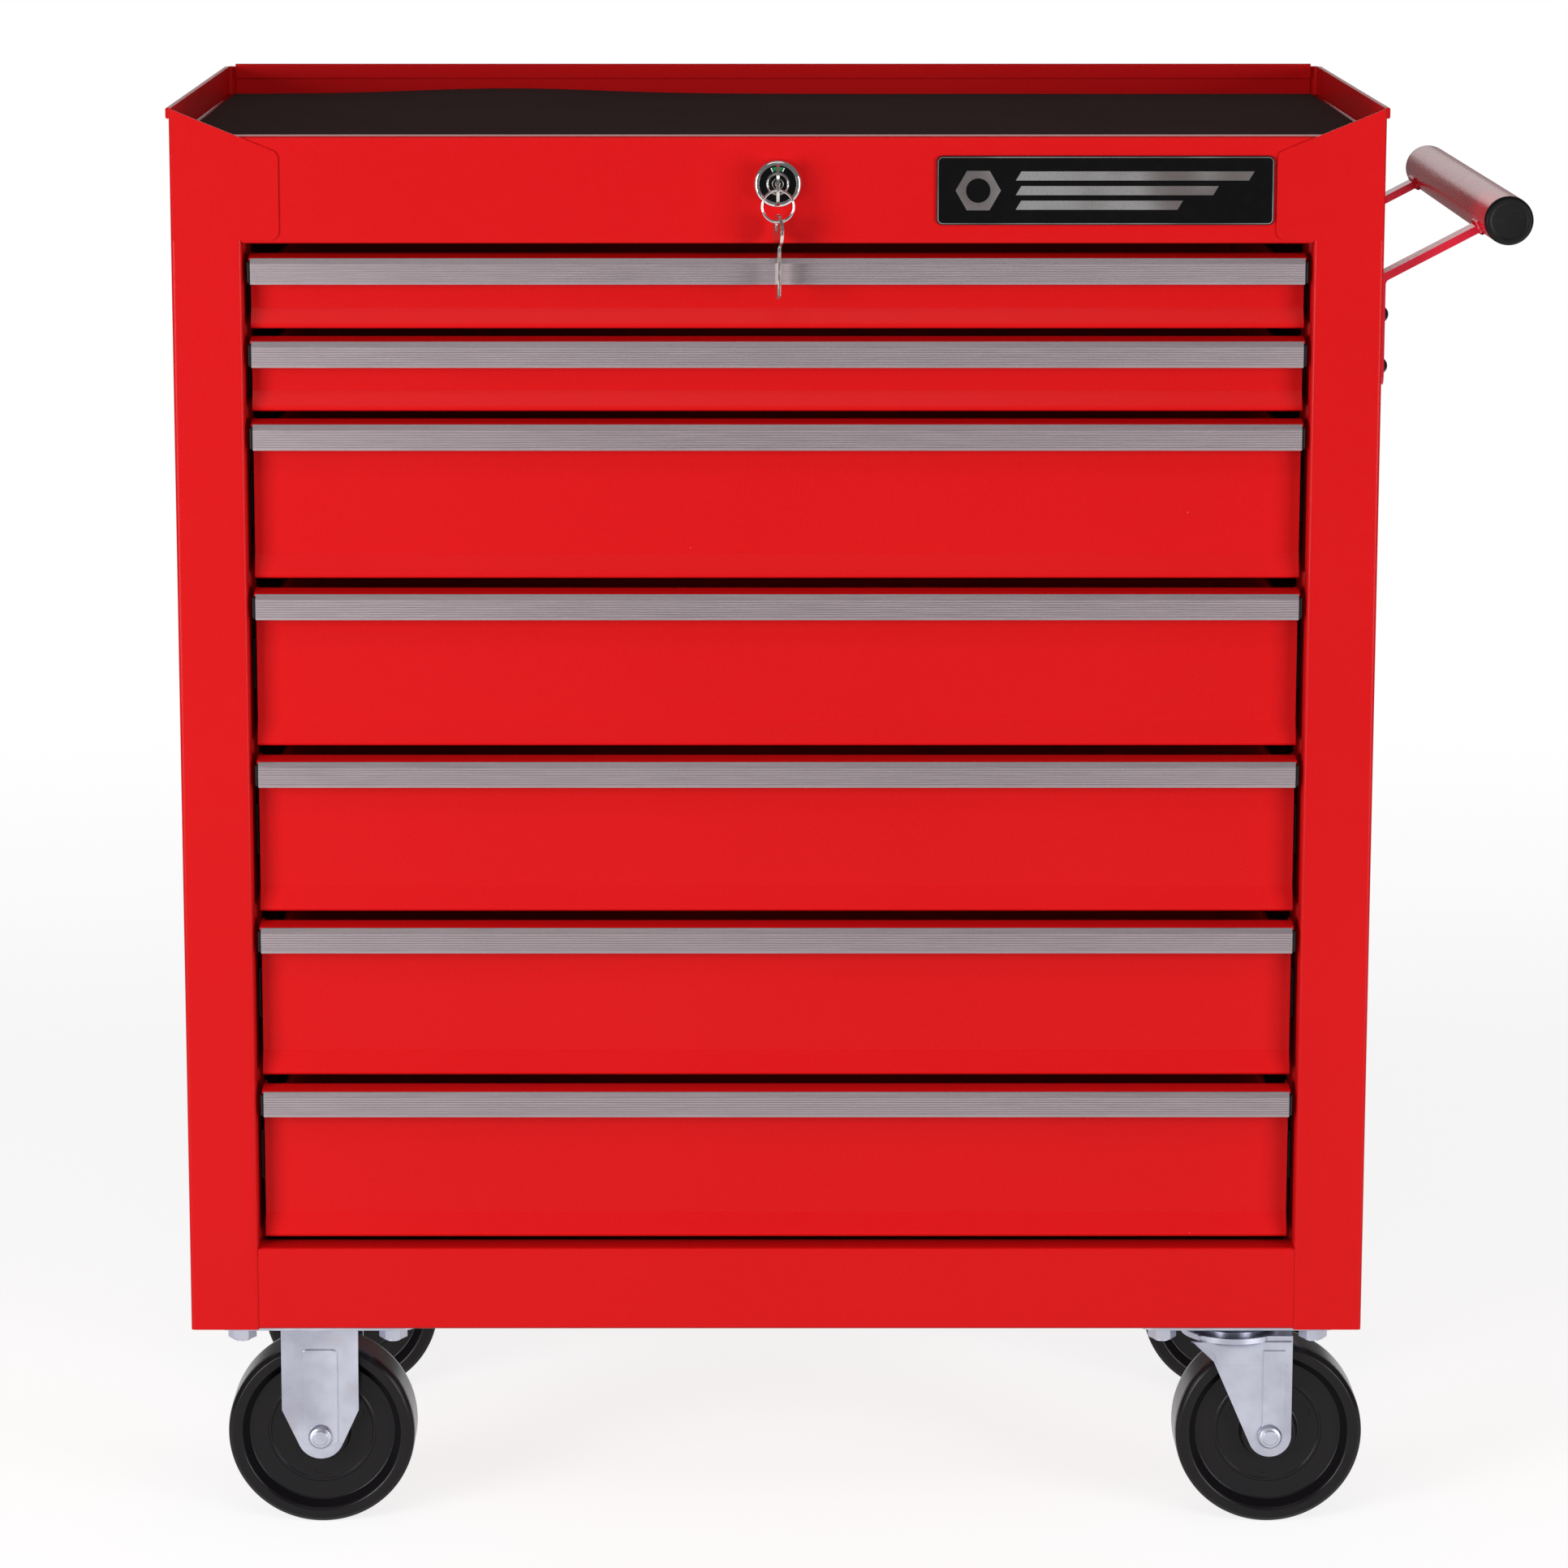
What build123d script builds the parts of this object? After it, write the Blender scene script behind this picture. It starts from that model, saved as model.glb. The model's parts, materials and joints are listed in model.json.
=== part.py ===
from build123d import *
import os
from math import acos, atan2, cos, hypot, sin

# A rolling tool chest: a sheet-steel cabinet with seven drawers, a locking bar, a push handle
# and four casters. Millimetres, +Z up, the drawers open towards -Y, the handle is on the +X side.

# Cabinet. x is measured from its middle, y from its mid-depth and z from the floor.
WIDTH = 616.0
DEPTH = 330.0
BASE_Z = 118.0
TOP_Z = 759.0
SHEET = 1.0
BEND = 1.5                      # bend radius at the middle of the sheet
HALF_W = WIDTH / 2
FRONT_Y = -DEPTH / 2
BACK_Y = DEPTH / 2
INNER_X = HALF_W - SHEET

# Front stiles, the gussets at their tops and the rolled top edges of the sides
STILE_W = 36.0
STILE_RETURN = 12.0
OPENING_X = HALF_W - STILE_W
GUSSET_W = 55.0
GUSSET_DROP = 21.9
GUSSET_BOTTOM = 66.8
GUSSET_R = 4.5
HEM_PROUD = 1.8
HEM_H = 5.5
HEM_ROUND = 0.85
REAR_RETURN = 15.0

# Top rail, apron and top tray
RAIL_Y = FRONT_Y + SHEET        # the rail and the apron lie behind the stiles' sheet
RAIL_TOP = TOP_Z - 14.3
RAIL_BOTTOM = TOP_Z - 68.6
RAIL_LIP_DEPTH = 13.0
RAIL_FOOT_DEPTH = 14.0
RAIL_FOOT_LIP = 6.0
APRON_TOP = 162.0
APRON_LEDGE = 19.0
APRON_LIP = 8.0
LINING_X = INNER_X - 1.2        # end of every cross member, clear of the sides' inner bends
TRAY_Z = TOP_Z - 18.0
TRAY_FLANGE = 15.0
MAT_T = 2.6
MAT_GAP = 1.3
FLOOR_FLANGE = 18.0

# Back panel
PANEL_Y = BACK_Y - SHEET
PANEL_HALF_W = 303.4
PANEL_RISE = 1.5
PANEL_HEM_H = 8.0
PANEL_HEM_ROUND = 0.8
FIELD_MARGIN = 45.0
FIELD_R = 12.0
FIELD_SINK = 0.1
GUIDE_Z = (300.0, 562.0)
GUIDE_H = 16.0
GUIDE_CHEEK = 3.0
GUIDE_SHEET = 1.5
GUIDE_PLAY = 0.5

# Drawers, from the top one down
PITCHES = (42.5, 42.5, 87.8, 87.8, 87.8, 87.8, 87.8)
SHALLOW_H = 38.7
DEEP_H = 82.8
FIRST_TOP = TOP_Z - 74.2
DRAWER_HALF_W = 268.9
SKIN_RECESS = 14.5              # middle of the drawer front's sheet behind the stiles' face
LEDGE_DROP = 1.8
LIP_RECESS = 2.5
LIP_H = 7.2
FLARE = 4.5
FLARE_H = {SHALLOW_H: 10.5, DEEP_H: 12.6}
FLARE_FOOT = 9.0
TRAY_HALF_W = 259.0
TRAY_BACK = 140.0
TRAY_LIFT = 3.0
SIDE_DROP = 5.0
REAR_DROP = 8.0
TRAY_HEM = 5.0

# Extruded pulls and their end caps
PULL_HALF_L = 268.0
PULL_H = 13.3
PULL_WALL = 1.7
PULL_DEPTH = 4.4
PULL_LEG = 1.2
PULL_LEG_H = 10.0
PULL_LEAN = 1.0
PULL_BEVEL = 2.6
GROOVES = 8
GROOVE_PITCH = 1.25
GROOVE_W = 0.42
GROOVE_D = 0.3
GROOVE_START = 0.2
CAP_T = 1.7
CAP_R = 1.4
CAP_EASE = 0.6
CAP_SET = 0.3
CAP_OVER = 0.5
CAP_GAP = 0.25

# Drawer slides and the uprights that carry them
SLIDE_X = TRAY_HALF_W
SLIDE_T = 12.8
SLIDE_STEEL = 1.2
RUNNER_H = 18.0
RUNNER_DEPTH = 8.4
CHANNEL_H = 27.0
CHANNEL_DEPTH = 9.6
SLIDE_FRONT = FRONT_Y + 27.0
RUNNER_BACK = TRAY_BACK
CHANNEL_BACK = 142.0
POST_W = 30.0
POST_Y = 125.0
POST_FOOT = BASE_Z + 4.0
POST_HEAD = TRAY_Z - 20.0

# Lock, keys and locking bar
LOCK_Z = TOP_Z - 38.0
BEZEL_R = 12.0
BEZEL_PROUD = 3.5
BEZEL_ROUND = 1.6
FACE_R = 9.5
FACE_DEPTH = 0.6
BARREL_R = 9.8
BARREL_BACK = -141.0
PLUG_R = 5.5
PLUG_GAP = 0.08
PLUG_PROUD = 0.4
PLUG_BACK = -140.5
CAM_T = 2.0
CAM_R = 8.0
PIN_R = 2.0
PIN_L = 6.0
KEY_T = 1.6
BLADE_H = 6.6
BLADE_L = 25.5
BOW_W = 20.6
BOW_L = 17.0
BOW_HOLE_R = 3.25
BOW_RIM = 3.1
NOTCHES = 5
NOTCH_R = 1.5
NOTCH_PITCH = 4.0
NOTCH_START = 6.0
BLADE_GAP = 0.25
RING_R = 8.0
WIRE_R = 0.7
RING_REST = 0.2
SPARE_TWIST = 12.0              # degrees about the vertical by which the hanging key turns its flat side
BAR_TRAVEL = 8.0
BAR_Y = 148.0
BAR_T = 2.0
BAR_HALF_W = 10.0
EYE_MARGIN = 6.0                # metal round the slot that the cam's pin works in
EYE_DROP = 9.0
SLOT_END = 0.6
SLOT_ABOVE = 0.4
SLOT_BELOW = 2.1
BAR_ARM_HALF_W = 5.0
BAR_ARM_T = 3.0
BAR_FOOT = 20.0
HOOK_GAP = 3.0
HOOK_T = 2.0
HOOK_HALF_W = 8.0

# Badge
BADGE_W = 171.0
BADGE_H = 35.0
BADGE_X = 166.0
BADGE_DROP = 41.5
BADGE_T = 1.8
BADGE_R = 3.0
BADGE_EASE = 0.6

# Push handle
TUBE_R = 12.5
TUBE_WALL = 1.5
TUBE_HALF_L = 162.5
TUBE_OUT = 63.0
TUBE_DROP = 57.0
END_CAP_T = 2.8
END_CAP_PLUG = 14.0
END_CAP_EASE = 1.2
ARM_Y = 132.0
ARM_W = 16.0
ARM_T = 4.0
ARM_DROP = 89.0
ARM_FLANGE = 55.0
ARM_BEND = 5.0
ARM_TOE_R = 5.0
SCREW_DROPS = (19.0, 45.6)
SCREW_R = 2.5
SCREW_HEAD_R = 4.2
SCREW_HEAD_H = 2.6
SCREW_END = 9.0
SCREW_NUT = 8.0
SCREW_NUT_H = 4.0

# Casters
WHEEL_R = 50.0
WHEEL_W = 32.0
HUB_W = 36.0
HUB_R = 14.5
AXLE_R = 4.0
AXLE_GAP = 0.1
CASTER_Y = 114.0
RIGID_X = -243.0
SWIVEL_X = 245.0
TRAIL = 19.0
PLATE_X = 105.0
PLATE_Y = 85.0
PLATE_T = 3.0
PLATE_R = 8.0
BOLT_X = 80.0
BOLT_Y = 60.0
BOLT_R = 4.0
BOLT_HEX = 13.0
NUT_H = 6.8
BOLT_HEAD_H = 5.3
BOLT_END = 1.6
BOLT_HOLE_R = 4.3
FORK_GAP = 38.0
FORK_T = 2.5
RIVET_R = 6.6
RIVET_H = 3.0
EMBOSS = 1.0
RIGID_LEG_W = 41.0
RIGID_TAPER_Z = 64.5
RIGID_END_R = 12.5
RIB_W = 18.5
RIB_TOP = 98.0
RIB_R = 2.5
SWIVEL_END_R = 11.5
SWIVEL_LEG_X = 15.0             # the leg's front corner before the pivot
SWIVEL_LEG_DROP = 6.0
SWIVEL_LEG_FLARE = 5.0
SWIVEL_RIB_X = (-4.0, 7.5)
SWIVEL_RIB_DROP = 8.0
CROWN_BLOCK_X = 18.0
CROWN_R = 27.5
CROWN_TOP = BASE_Z - 12.5
CROWN_T = 3.0
RACE_R = 25.0
RACE_RING_R = 19.0
RACE_GAP = 0.6
RACE_Z = CROWN_TOP + 2.2
RACE_CHAMFER = 2.0
KINGPIN_R = 5.0
KINGPIN_GAP = 0.1
KINGPIN_HEAD_R = 7.0
KINGPIN_HEAD_H = 2.2
KINGPIN_FOOT = 99.9

HANDLE_X = HALF_W + TUBE_OUT
HANDLE_Z = TOP_Z - TUBE_DROP
PLATE_Z = BASE_Z - PLATE_T
KEY_SHOULDER_Y = RAIL_Y - BEZEL_PROUD - 1.0
BOW_END_Y = KEY_SHOULDER_Y - BOW_L
RING_Y = BOW_END_Y + BOW_RIM + BOW_HOLE_R

# The origin is under the middle of the whole object's box: the handle makes it lopsided.
MIN_X = -HALF_W - HEM_PROUD
MAX_X = HANDLE_X + TUBE_R
MIN_Y = RING_Y - BOW_W / 2
MAX_Y = TUBE_HALF_L + END_CAP_T
ORIGIN = ((MIN_X + MAX_X) / 2, (MIN_Y + MAX_Y) / 2, 0.0)

SIDE = Plane.YZ                 # a section in (y, z), swept along +X
FRONT = Plane.XZ                # a section in (x, z), swept along -Y


def block(x, y, z):
    """A box between two values along each axis."""
    size = (x[1] - x[0], y[1] - y[0], z[1] - z[0])
    return Pos((x[0] + x[1]) / 2, (y[0] + y[1]) / 2, (z[0] + z[1]) / 2) * Box(*size)


def rod(start, direction, radius, length):
    """A round bar from a point along a direction."""
    end = (Align.CENTER, Align.CENTER, Align.MIN)
    return Plane(origin=start, z_dir=direction) * Cylinder(radius, length, align=end)


def along_x(face, x0, x1):
    """A section in (y, z) swept from one x to another."""
    return extrude(SIDE.offset(x0) * face, x1 - x0)


def along_y(face, y0, y1):
    """A section in (x, z) swept from one y to another."""
    return extrude(FRONT.offset(-y1) * face, y1 - y0)


def up(face, z0, z1):
    """A section in (x, y) swept from one z to another."""
    return extrude(Plane.XY.offset(z0) * face, z1 - z0)


def outline(*points):
    """A closed straight-sided face."""
    return make_face(Polyline(*points, close=True))


def beside(points, shift):
    """The points of a path moved sideways, with mitred corners, to the left of its direction."""
    normals = []
    for (ax, ay), (bx, by) in zip(points, points[1:]):
        length = hypot(bx - ax, by - ay)
        normals.append(((ay - by) / length, (bx - ax) / length))
    moved = []
    for (px, py), n, m in zip(points, normals[:1] + normals, normals + normals[-1:]):
        share = shift / (1 + n[0] * m[0] + n[1] * m[1])
        moved.append((px + share * (n[0] + m[0]), py + share * (n[1] + m[1])))
    return moved


def turns_left(a, b, c):
    """Whether a path bends to the left at its middle point."""
    return (b[0] - a[0]) * (c[1] - b[1]) > (b[1] - a[1]) * (c[0] - b[0])


def bent(points, thickness=SHEET, bend=BEND):
    """The section of a bent sheet, from the path of its middle."""
    sides = []
    for sign in (1, -1):
        radii = []
        for a, b, c in zip(points, points[1:], points[2:]):
            inside = turns_left(a, b, c) == (sign > 0)
            radii.append(bend - thickness / 2 if inside else bend + thickness / 2)
        path = beside(points, sign * thickness / 2)
        sides.append(FilletPolyline(*path, radius=radii) if radii else Line(*path))
    left, right = sides
    ends = [Line(left @ 0, right @ 0), Line(left @ 1, right @ 1)]
    return make_face([*left.edges(), *right.edges(), *ends])


def hexagon(across_flats):
    """A hexagonal face."""
    return RegularPolygon(across_flats / 2, 6, major_radius=False)


def dome(radius, height, shank=0.0):
    """A domed head on the XY plane, rounded towards +Z."""
    sphere_r = (radius ** 2 + height ** 2) / (2 * height)
    cap = Pos(0, 0, height - sphere_r) * Sphere(sphere_r)
    cap &= block((-radius, radius), (-radius, radius), (0, height))
    if shank:
        cap += Pos(0, 0, -shank / 2) * Cylinder(SCREW_R, shank)
    return cap


def mirrored(shape):
    """The same shape on the other side of the cabinet."""
    return mirror(shape, about=Plane.YZ)


def gusset():
    """The plate that widens a stile where it laps over the top rail."""
    inner = HALF_W - GUSSET_W
    top = TOP_Z - SHEET / 2
    corners = [(INNER_X, top), (inner, top - GUSSET_DROP), (inner, TOP_Z - GUSSET_BOTTOM)]
    face = outline(*corners, (INNER_X, TOP_Z - GUSSET_BOTTOM))
    rounded = face.vertices().sort_by(Axis.X)[:2]
    return along_y(fillet(rounded, GUSSET_R), FRONT_Y, RAIL_Y)


def side_panel():
    """The right side: front stile, skin and rear return from one sheet, with a rolled top edge."""
    mid = SHEET / 2
    stile_y = FRONT_Y + mid
    path = [
        (OPENING_X + mid, FRONT_Y + STILE_RETURN),
        (OPENING_X + mid, stile_y),
        (HALF_W - mid, stile_y),
        (HALF_W - mid, BACK_Y - mid),
        (HALF_W - REAR_RETURN, BACK_Y - mid),
    ]
    panel = up(bent(path), BASE_Z, TOP_Z)
    lap = (OPENING_X - 2, OPENING_X + STILE_W / 2)
    behind = (RAIL_Y, RAIL_Y + 2 * STILE_RETURN)
    panel -= block(lap, behind, (RAIL_BOTTOM, TOP_Z + 1))
    panel -= block(lap, behind, (BASE_Z - 1, APRON_TOP + mid))
    slope = GUSSET_DROP / (GUSSET_W - SHEET)
    low = TOP_Z - mid - slope * STILE_W
    above = outline((INNER_X, TOP_Z - mid), (INNER_X - STILE_W, low), (INNER_X - STILE_W, TOP_Z + 1),
                    (INNER_X, TOP_Z + 1))
    panel -= along_y(above, FRONT_Y - 1, FRONT_Y + 2 * STILE_RETURN)
    hem_y = BACK_Y - 2 * BEND
    hem = block((HALF_W - mid, HALF_W + HEM_PROUD), (-hem_y, hem_y), (TOP_Z - HEM_H, TOP_Z))
    hem = fillet(hem.edges().filter_by(Axis.Y).group_by(Axis.X)[-1], HEM_ROUND)
    return panel + gusset() + hem


def side_panels():
    """Both sides; the right one is drilled for the handle."""
    right = side_panel()
    left = mirrored(right)
    for y in (-ARM_Y, ARM_Y):
        for drop in SCREW_DROPS:
            start = (INNER_X - 1, y, TOP_Z - ARM_DROP - drop)
            right -= rod(start, (1, 0, 0), SCREW_R + 0.1, SHEET + 2)
    return {"side_panel_left": left, "side_panel_right": right}


def front_top_rail():
    """The rail over the drawers: lip at the mat's front edge, face and foot, drilled for the lock."""
    mid = SHEET / 2
    foot_y = RAIL_Y + RAIL_FOOT_DEPTH
    path = [
        (RAIL_Y + RAIL_LIP_DEPTH, RAIL_TOP - mid),
        (RAIL_Y + mid, RAIL_TOP - mid),
        (RAIL_Y + mid, RAIL_BOTTOM + mid),
        (foot_y - mid, RAIL_BOTTOM + mid),
        (foot_y - mid, RAIL_BOTTOM + RAIL_FOOT_LIP),
    ]
    rail = along_x(bent(path), -LINING_X, LINING_X)
    hole = rod((0, RAIL_Y - 1, LOCK_Z), (0, 1, 0), BARREL_R + 0.1, 3)
    return rail - hole


def floor_pan():
    """The floor and the apron in front of it, bent from one sheet, with welded side flanges."""
    mid = SHEET / 2
    ledge_y = RAIL_Y + APRON_LEDGE
    path = [
        (ledge_y - mid, APRON_TOP - APRON_LIP),
        (ledge_y - mid, APRON_TOP - mid),
        (RAIL_Y + mid, APRON_TOP - mid),
        (RAIL_Y + mid, BASE_Z + mid),
        (PANEL_Y - SHEET - mid, BASE_Z + mid),
        (PANEL_Y - SHEET - mid, BASE_Z + FLOOR_FLANGE),
    ]
    pan = along_x(bent(path), -LINING_X, LINING_X)
    for sign in (-1, 1):
        x = sorted((sign * LINING_X, sign * (LINING_X - SHEET)))
        y = (RAIL_Y + APRON_LEDGE + 2, PANEL_Y - 2 * BEND)
        pan += block(x, y, (BASE_Z + mid, BASE_Z + FLOOR_FLANGE))
    for centre in caster_centres():
        for x, y in bolt_places(centre):
            pan -= rod((x, y, BASE_Z - 1), (0, 0, 1), BOLT_HOLE_R, SHEET + 2)
    return pan


def top_tray():
    """The pan under the mat, with flanges turned down at its sides and back."""
    back = PANEL_Y - SHEET - 0.2
    tray = block((-LINING_X, LINING_X), (RAIL_Y + SHEET, back), (TRAY_Z - SHEET, TRAY_Z))
    foot = (TRAY_Z - TRAY_FLANGE, TRAY_Z)
    tray += block((-LINING_X, LINING_X), (back - SHEET, back), foot)
    for sign in (-1, 1):
        x = sorted((sign * LINING_X, sign * (LINING_X - SHEET)))
        tray += block(x, (RAIL_Y + 2 * RAIL_FOOT_DEPTH, back), foot)
    return tray


def top_mat():
    """The foam-rubber mat that lies in the top tray."""
    half = LINING_X - MAT_GAP
    front = RAIL_Y + RAIL_LIP_DEPTH + MAT_GAP
    back = PANEL_Y - SHEET - MAT_GAP
    return block((-half, half), (front, back), (TRAY_Z, TRAY_Z + MAT_T))


def back_panel():
    """The back: a flat sheet with a raised field, a folded top edge and two guides for the bar."""
    x = (-PANEL_HALF_W, PANEL_HALF_W)
    top = TOP_Z + PANEL_RISE
    panel = block(x, (PANEL_Y - SHEET, PANEL_Y), (BASE_Z, top))
    panel += block(x, (PANEL_Y - 2 * SHEET, PANEL_Y), (top - PANEL_HEM_H, top))
    panel = fillet(panel.edges().filter_by(Axis.X).group_by(Axis.Z)[-1], PANEL_HEM_ROUND)
    field = (PANEL_HALF_W - FIELD_MARGIN, BASE_Z + FIELD_MARGIN, TOP_Z - 2 * FIELD_MARGIN)
    outer = block((-field[0], field[0]), (PANEL_Y - SHEET, PANEL_Y + SHEET - FIELD_SINK), field[1:])
    outer = fillet(outer.edges().filter_by(Axis.Y), FIELD_R)
    inside = block((SHEET - field[0], field[0] - SHEET), (PANEL_Y - 2 * SHEET, PANEL_Y - FIELD_SINK),
                   (field[1] + SHEET, field[2] - SHEET))
    panel = panel + outer - fillet(inside.edges().filter_by(Axis.Y), FIELD_R - SHEET)
    for z in GUIDE_Z:
        panel += bar_guide(z)
    return panel


def bar_guide(z):
    """A loop of sheet on the back panel that the locking bar slides through."""
    half = BAR_HALF_W + GUIDE_CHEEK
    slot_half = BAR_HALF_W + GUIDE_PLAY
    ends = (z - GUIDE_H / 2, z + GUIDE_H / 2)
    through = (ends[0] - 1, ends[1] + 1)
    guide = block((-half, half), (BAR_Y - GUIDE_CHEEK, PANEL_Y - FIELD_SINK / 2), ends)
    slot = (BAR_Y - GUIDE_PLAY, BAR_Y + BAR_T + GUIDE_PLAY)
    guide -= block((-slot_half, slot_half), slot, through)
    hollow = (slot[1] + GUIDE_SHEET, PANEL_Y + 1)
    return guide - block((GUIDE_SHEET - half, half - GUIDE_SHEET), hollow, through)


def slide_posts():
    """Four channel-section uprights, welded to the sides, which carry the slides."""
    posts = []
    web = SLIDE_X + SLIDE_T + 0.2
    for sign in (-1, 1):
        for y in (-POST_Y, POST_Y):
            ends = (y - POST_W / 2, y + POST_W / 2)
            mid = SLIDE_STEEL / 2
            path = [(INNER_X, ends[0] + mid), (web + mid, ends[0] + mid)]
            path += [(web + mid, ends[1] - mid), (INNER_X, ends[1] - mid)]
            foot = POST_FOOT + FLOOR_FLANGE
            post = up(bent(path, SLIDE_STEEL), foot, POST_HEAD)
            posts.append(post if sign > 0 else mirrored(post))
    return Compound(posts)


def drawer_tops():
    """The top of each drawer front, with its height."""
    z = FIRST_TOP
    for pitch in PITCHES:
        yield z, SHALLOW_H if pitch == PITCHES[0] else DEEP_H
        z -= pitch


def slide_section(height, depth, web_x, inward):
    """A C section in (x, z) about its own mid-height, its web at web_x and its arms inward or not."""
    mid = SLIDE_STEEL / 2
    reach = web_x - depth if inward else web_x + depth
    web = web_x - mid if inward else web_x + mid
    arm = height / 2 - mid
    return bent([(reach, arm), (web, arm), (web, -arm), (reach, -arm)], SLIDE_STEEL, 1.0)


def slide_mid(top, height):
    """The mid-height of a drawer's slides."""
    return top - SIDE_DROP - (height - SIDE_DROP - TRAY_LIFT) / 2


def slide_channels():
    """The outer slide members, two to a drawer, screwed to the uprights."""
    section = slide_section(CHANNEL_H, CHANNEL_DEPTH, SLIDE_X + SLIDE_T, True)
    channels = []
    for top, height in drawer_tops():
        channel = Pos(0, 0, slide_mid(top, height)) * along_y(section, SLIDE_FRONT, CHANNEL_BACK)
        channels += [channel, mirrored(channel)]
    return Compound(channels)


def drawer_runners(top, height):
    """The two inner slide members on a drawer's sides."""
    section = slide_section(RUNNER_H, RUNNER_DEPTH, SLIDE_X, False)
    runner = Pos(0, 0, slide_mid(top, height)) * along_y(section, SLIDE_FRONT, RUNNER_BACK)
    return Compound([runner, mirrored(runner)])


def drawer_front(top, height):
    """A drawer front: lip and ledge that carry the pull, recessed skin and flared lower edge."""
    mid = SHEET / 2
    bottom = top - height
    skin_y = FRONT_Y + SKIN_RECESS
    lip_y = FRONT_Y + LIP_RECESS
    path = [
        (lip_y, top - LEDGE_DROP - mid - LIP_H),
        (lip_y, top - LEDGE_DROP - mid),
        (skin_y, top - mid),
        (skin_y, bottom + FLARE_H[height]),
        (skin_y - FLARE, bottom + mid),
        (skin_y - FLARE + FLARE_FOOT, bottom + mid),
    ]
    front = along_x(bent(path), -DRAWER_HALF_W, DRAWER_HALF_W)
    for sign in (-1, 1):
        ends = sorted((sign * (PULL_HALF_L - 0.3), sign * (DRAWER_HALF_W + 1)))
        front -= block(ends, (FRONT_Y - 1, lip_y + 3), (bottom, top - LEDGE_DROP - SHEET - 0.1))
        cheek = sorted((sign * (DRAWER_HALF_W - SHEET), sign * DRAWER_HALF_W))
        front += block(cheek, (skin_y, skin_y + FLARE_FOOT), (bottom + FLARE_H[height], top - SHEET))
    return front


def drawer_box(top, height):
    """A drawer: front, floor, hemmed sides and a lower rear wall, welded into one piece."""
    floor = top - height + TRAY_LIFT
    side_top = top - SIDE_DROP
    skin_y = FRONT_Y + SKIN_RECESS
    x = (-TRAY_HALF_W, TRAY_HALF_W)
    box = drawer_front(top, height)
    box += block(x, (skin_y, TRAY_BACK), (floor, floor + SHEET))
    box += block(x, (TRAY_BACK - SHEET, TRAY_BACK), (floor, top - REAR_DROP))
    for sign in (-1, 1):
        wall = sorted((sign * (TRAY_HALF_W - SHEET), sign * TRAY_HALF_W))
        hem = sorted((sign * (TRAY_HALF_W - 2 * SHEET), sign * TRAY_HALF_W))
        box += block(wall, (skin_y, TRAY_BACK), (floor, side_top))
        box += block(hem, (skin_y, TRAY_BACK - 2 * SHEET), (side_top - TRAY_HEM, side_top))
    return box


def drawer_pull(top):
    """An extruded pull: a grooved face, and a leg that clips up behind the ledge's lip."""
    crown = top - LEDGE_DROP
    foot = crown - PULL_H
    face_y = FRONT_Y
    back_y = face_y + PULL_WALL
    leg_y = face_y + PULL_DEPTH
    section = outline(
        (face_y, foot),
        (leg_y, foot),
        (leg_y, foot + PULL_LEG_H),
        (leg_y - PULL_LEG, foot + PULL_LEG_H),
        (leg_y - PULL_LEG, foot + PULL_LEG),
        (back_y, foot + PULL_LEG),
        (back_y, crown),
        (face_y + PULL_LEAN, crown),
        (face_y, crown - PULL_BEVEL),
    )
    for i in range(GROOVES):
        z = crown - PULL_BEVEL - GROOVE_START - i * GROOVE_PITCH
        section -= Pos(face_y, z) * Rectangle(2 * GROOVE_D, GROOVE_W)
    return along_x(section, -PULL_HALF_L, PULL_HALF_L)


def pull_caps(top):
    """The two plastic caps that close a pull's ends."""
    crown = top - LEDGE_DROP
    y = (FRONT_Y + CAP_SET, FRONT_Y + PULL_DEPTH + CAP_OVER)
    z = (crown - PULL_H + CAP_SET, crown - SHEET - CAP_GAP)
    cap = block((PULL_HALF_L, PULL_HALF_L + CAP_T), y, z)
    cap = fillet(cap.edges().filter_by(Axis.X), CAP_R)
    cap = fillet(cap.faces().sort_by(Axis.X)[-1].edges(), CAP_EASE)
    return Compound([cap, mirrored(cap)])


def badge_plate():
    """A blank badge on the top rail."""
    z = TOP_Z - BADGE_DROP
    x = (BADGE_X - BADGE_W / 2, BADGE_X + BADGE_W / 2)
    plate = block(x, (RAIL_Y - BADGE_T, RAIL_Y), (z - BADGE_H / 2, z + BADGE_H / 2))
    plate = fillet(plate.edges().filter_by(Axis.Y), BADGE_R)
    return fillet(plate.faces().sort_by(Axis.Y)[0].edges(), BADGE_EASE)


def lock_housing():
    """The lock's barrel and bezel, with a sunken face and a bore for the plug."""
    bezel_y = RAIL_Y - BEZEL_PROUD
    bezel = rod((0, bezel_y, LOCK_Z), (0, 1, 0), BEZEL_R, BEZEL_PROUD)
    bezel = fillet(bezel.edges().sort_by(Axis.Y)[0], BEZEL_ROUND)
    bezel -= rod((0, bezel_y - 1, LOCK_Z), (0, 1, 0), FACE_R, FACE_DEPTH + 1)
    barrel = rod((0, RAIL_Y - 0.1, LOCK_Z), (0, 1, 0), BARREL_R, BARREL_BACK - RAIL_Y + 0.1)
    bore = rod((0, bezel_y - 1, LOCK_Z), (0, 1, 0), PLUG_R + PLUG_GAP, BARREL_BACK - bezel_y + 2)
    return bezel + barrel - bore


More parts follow.
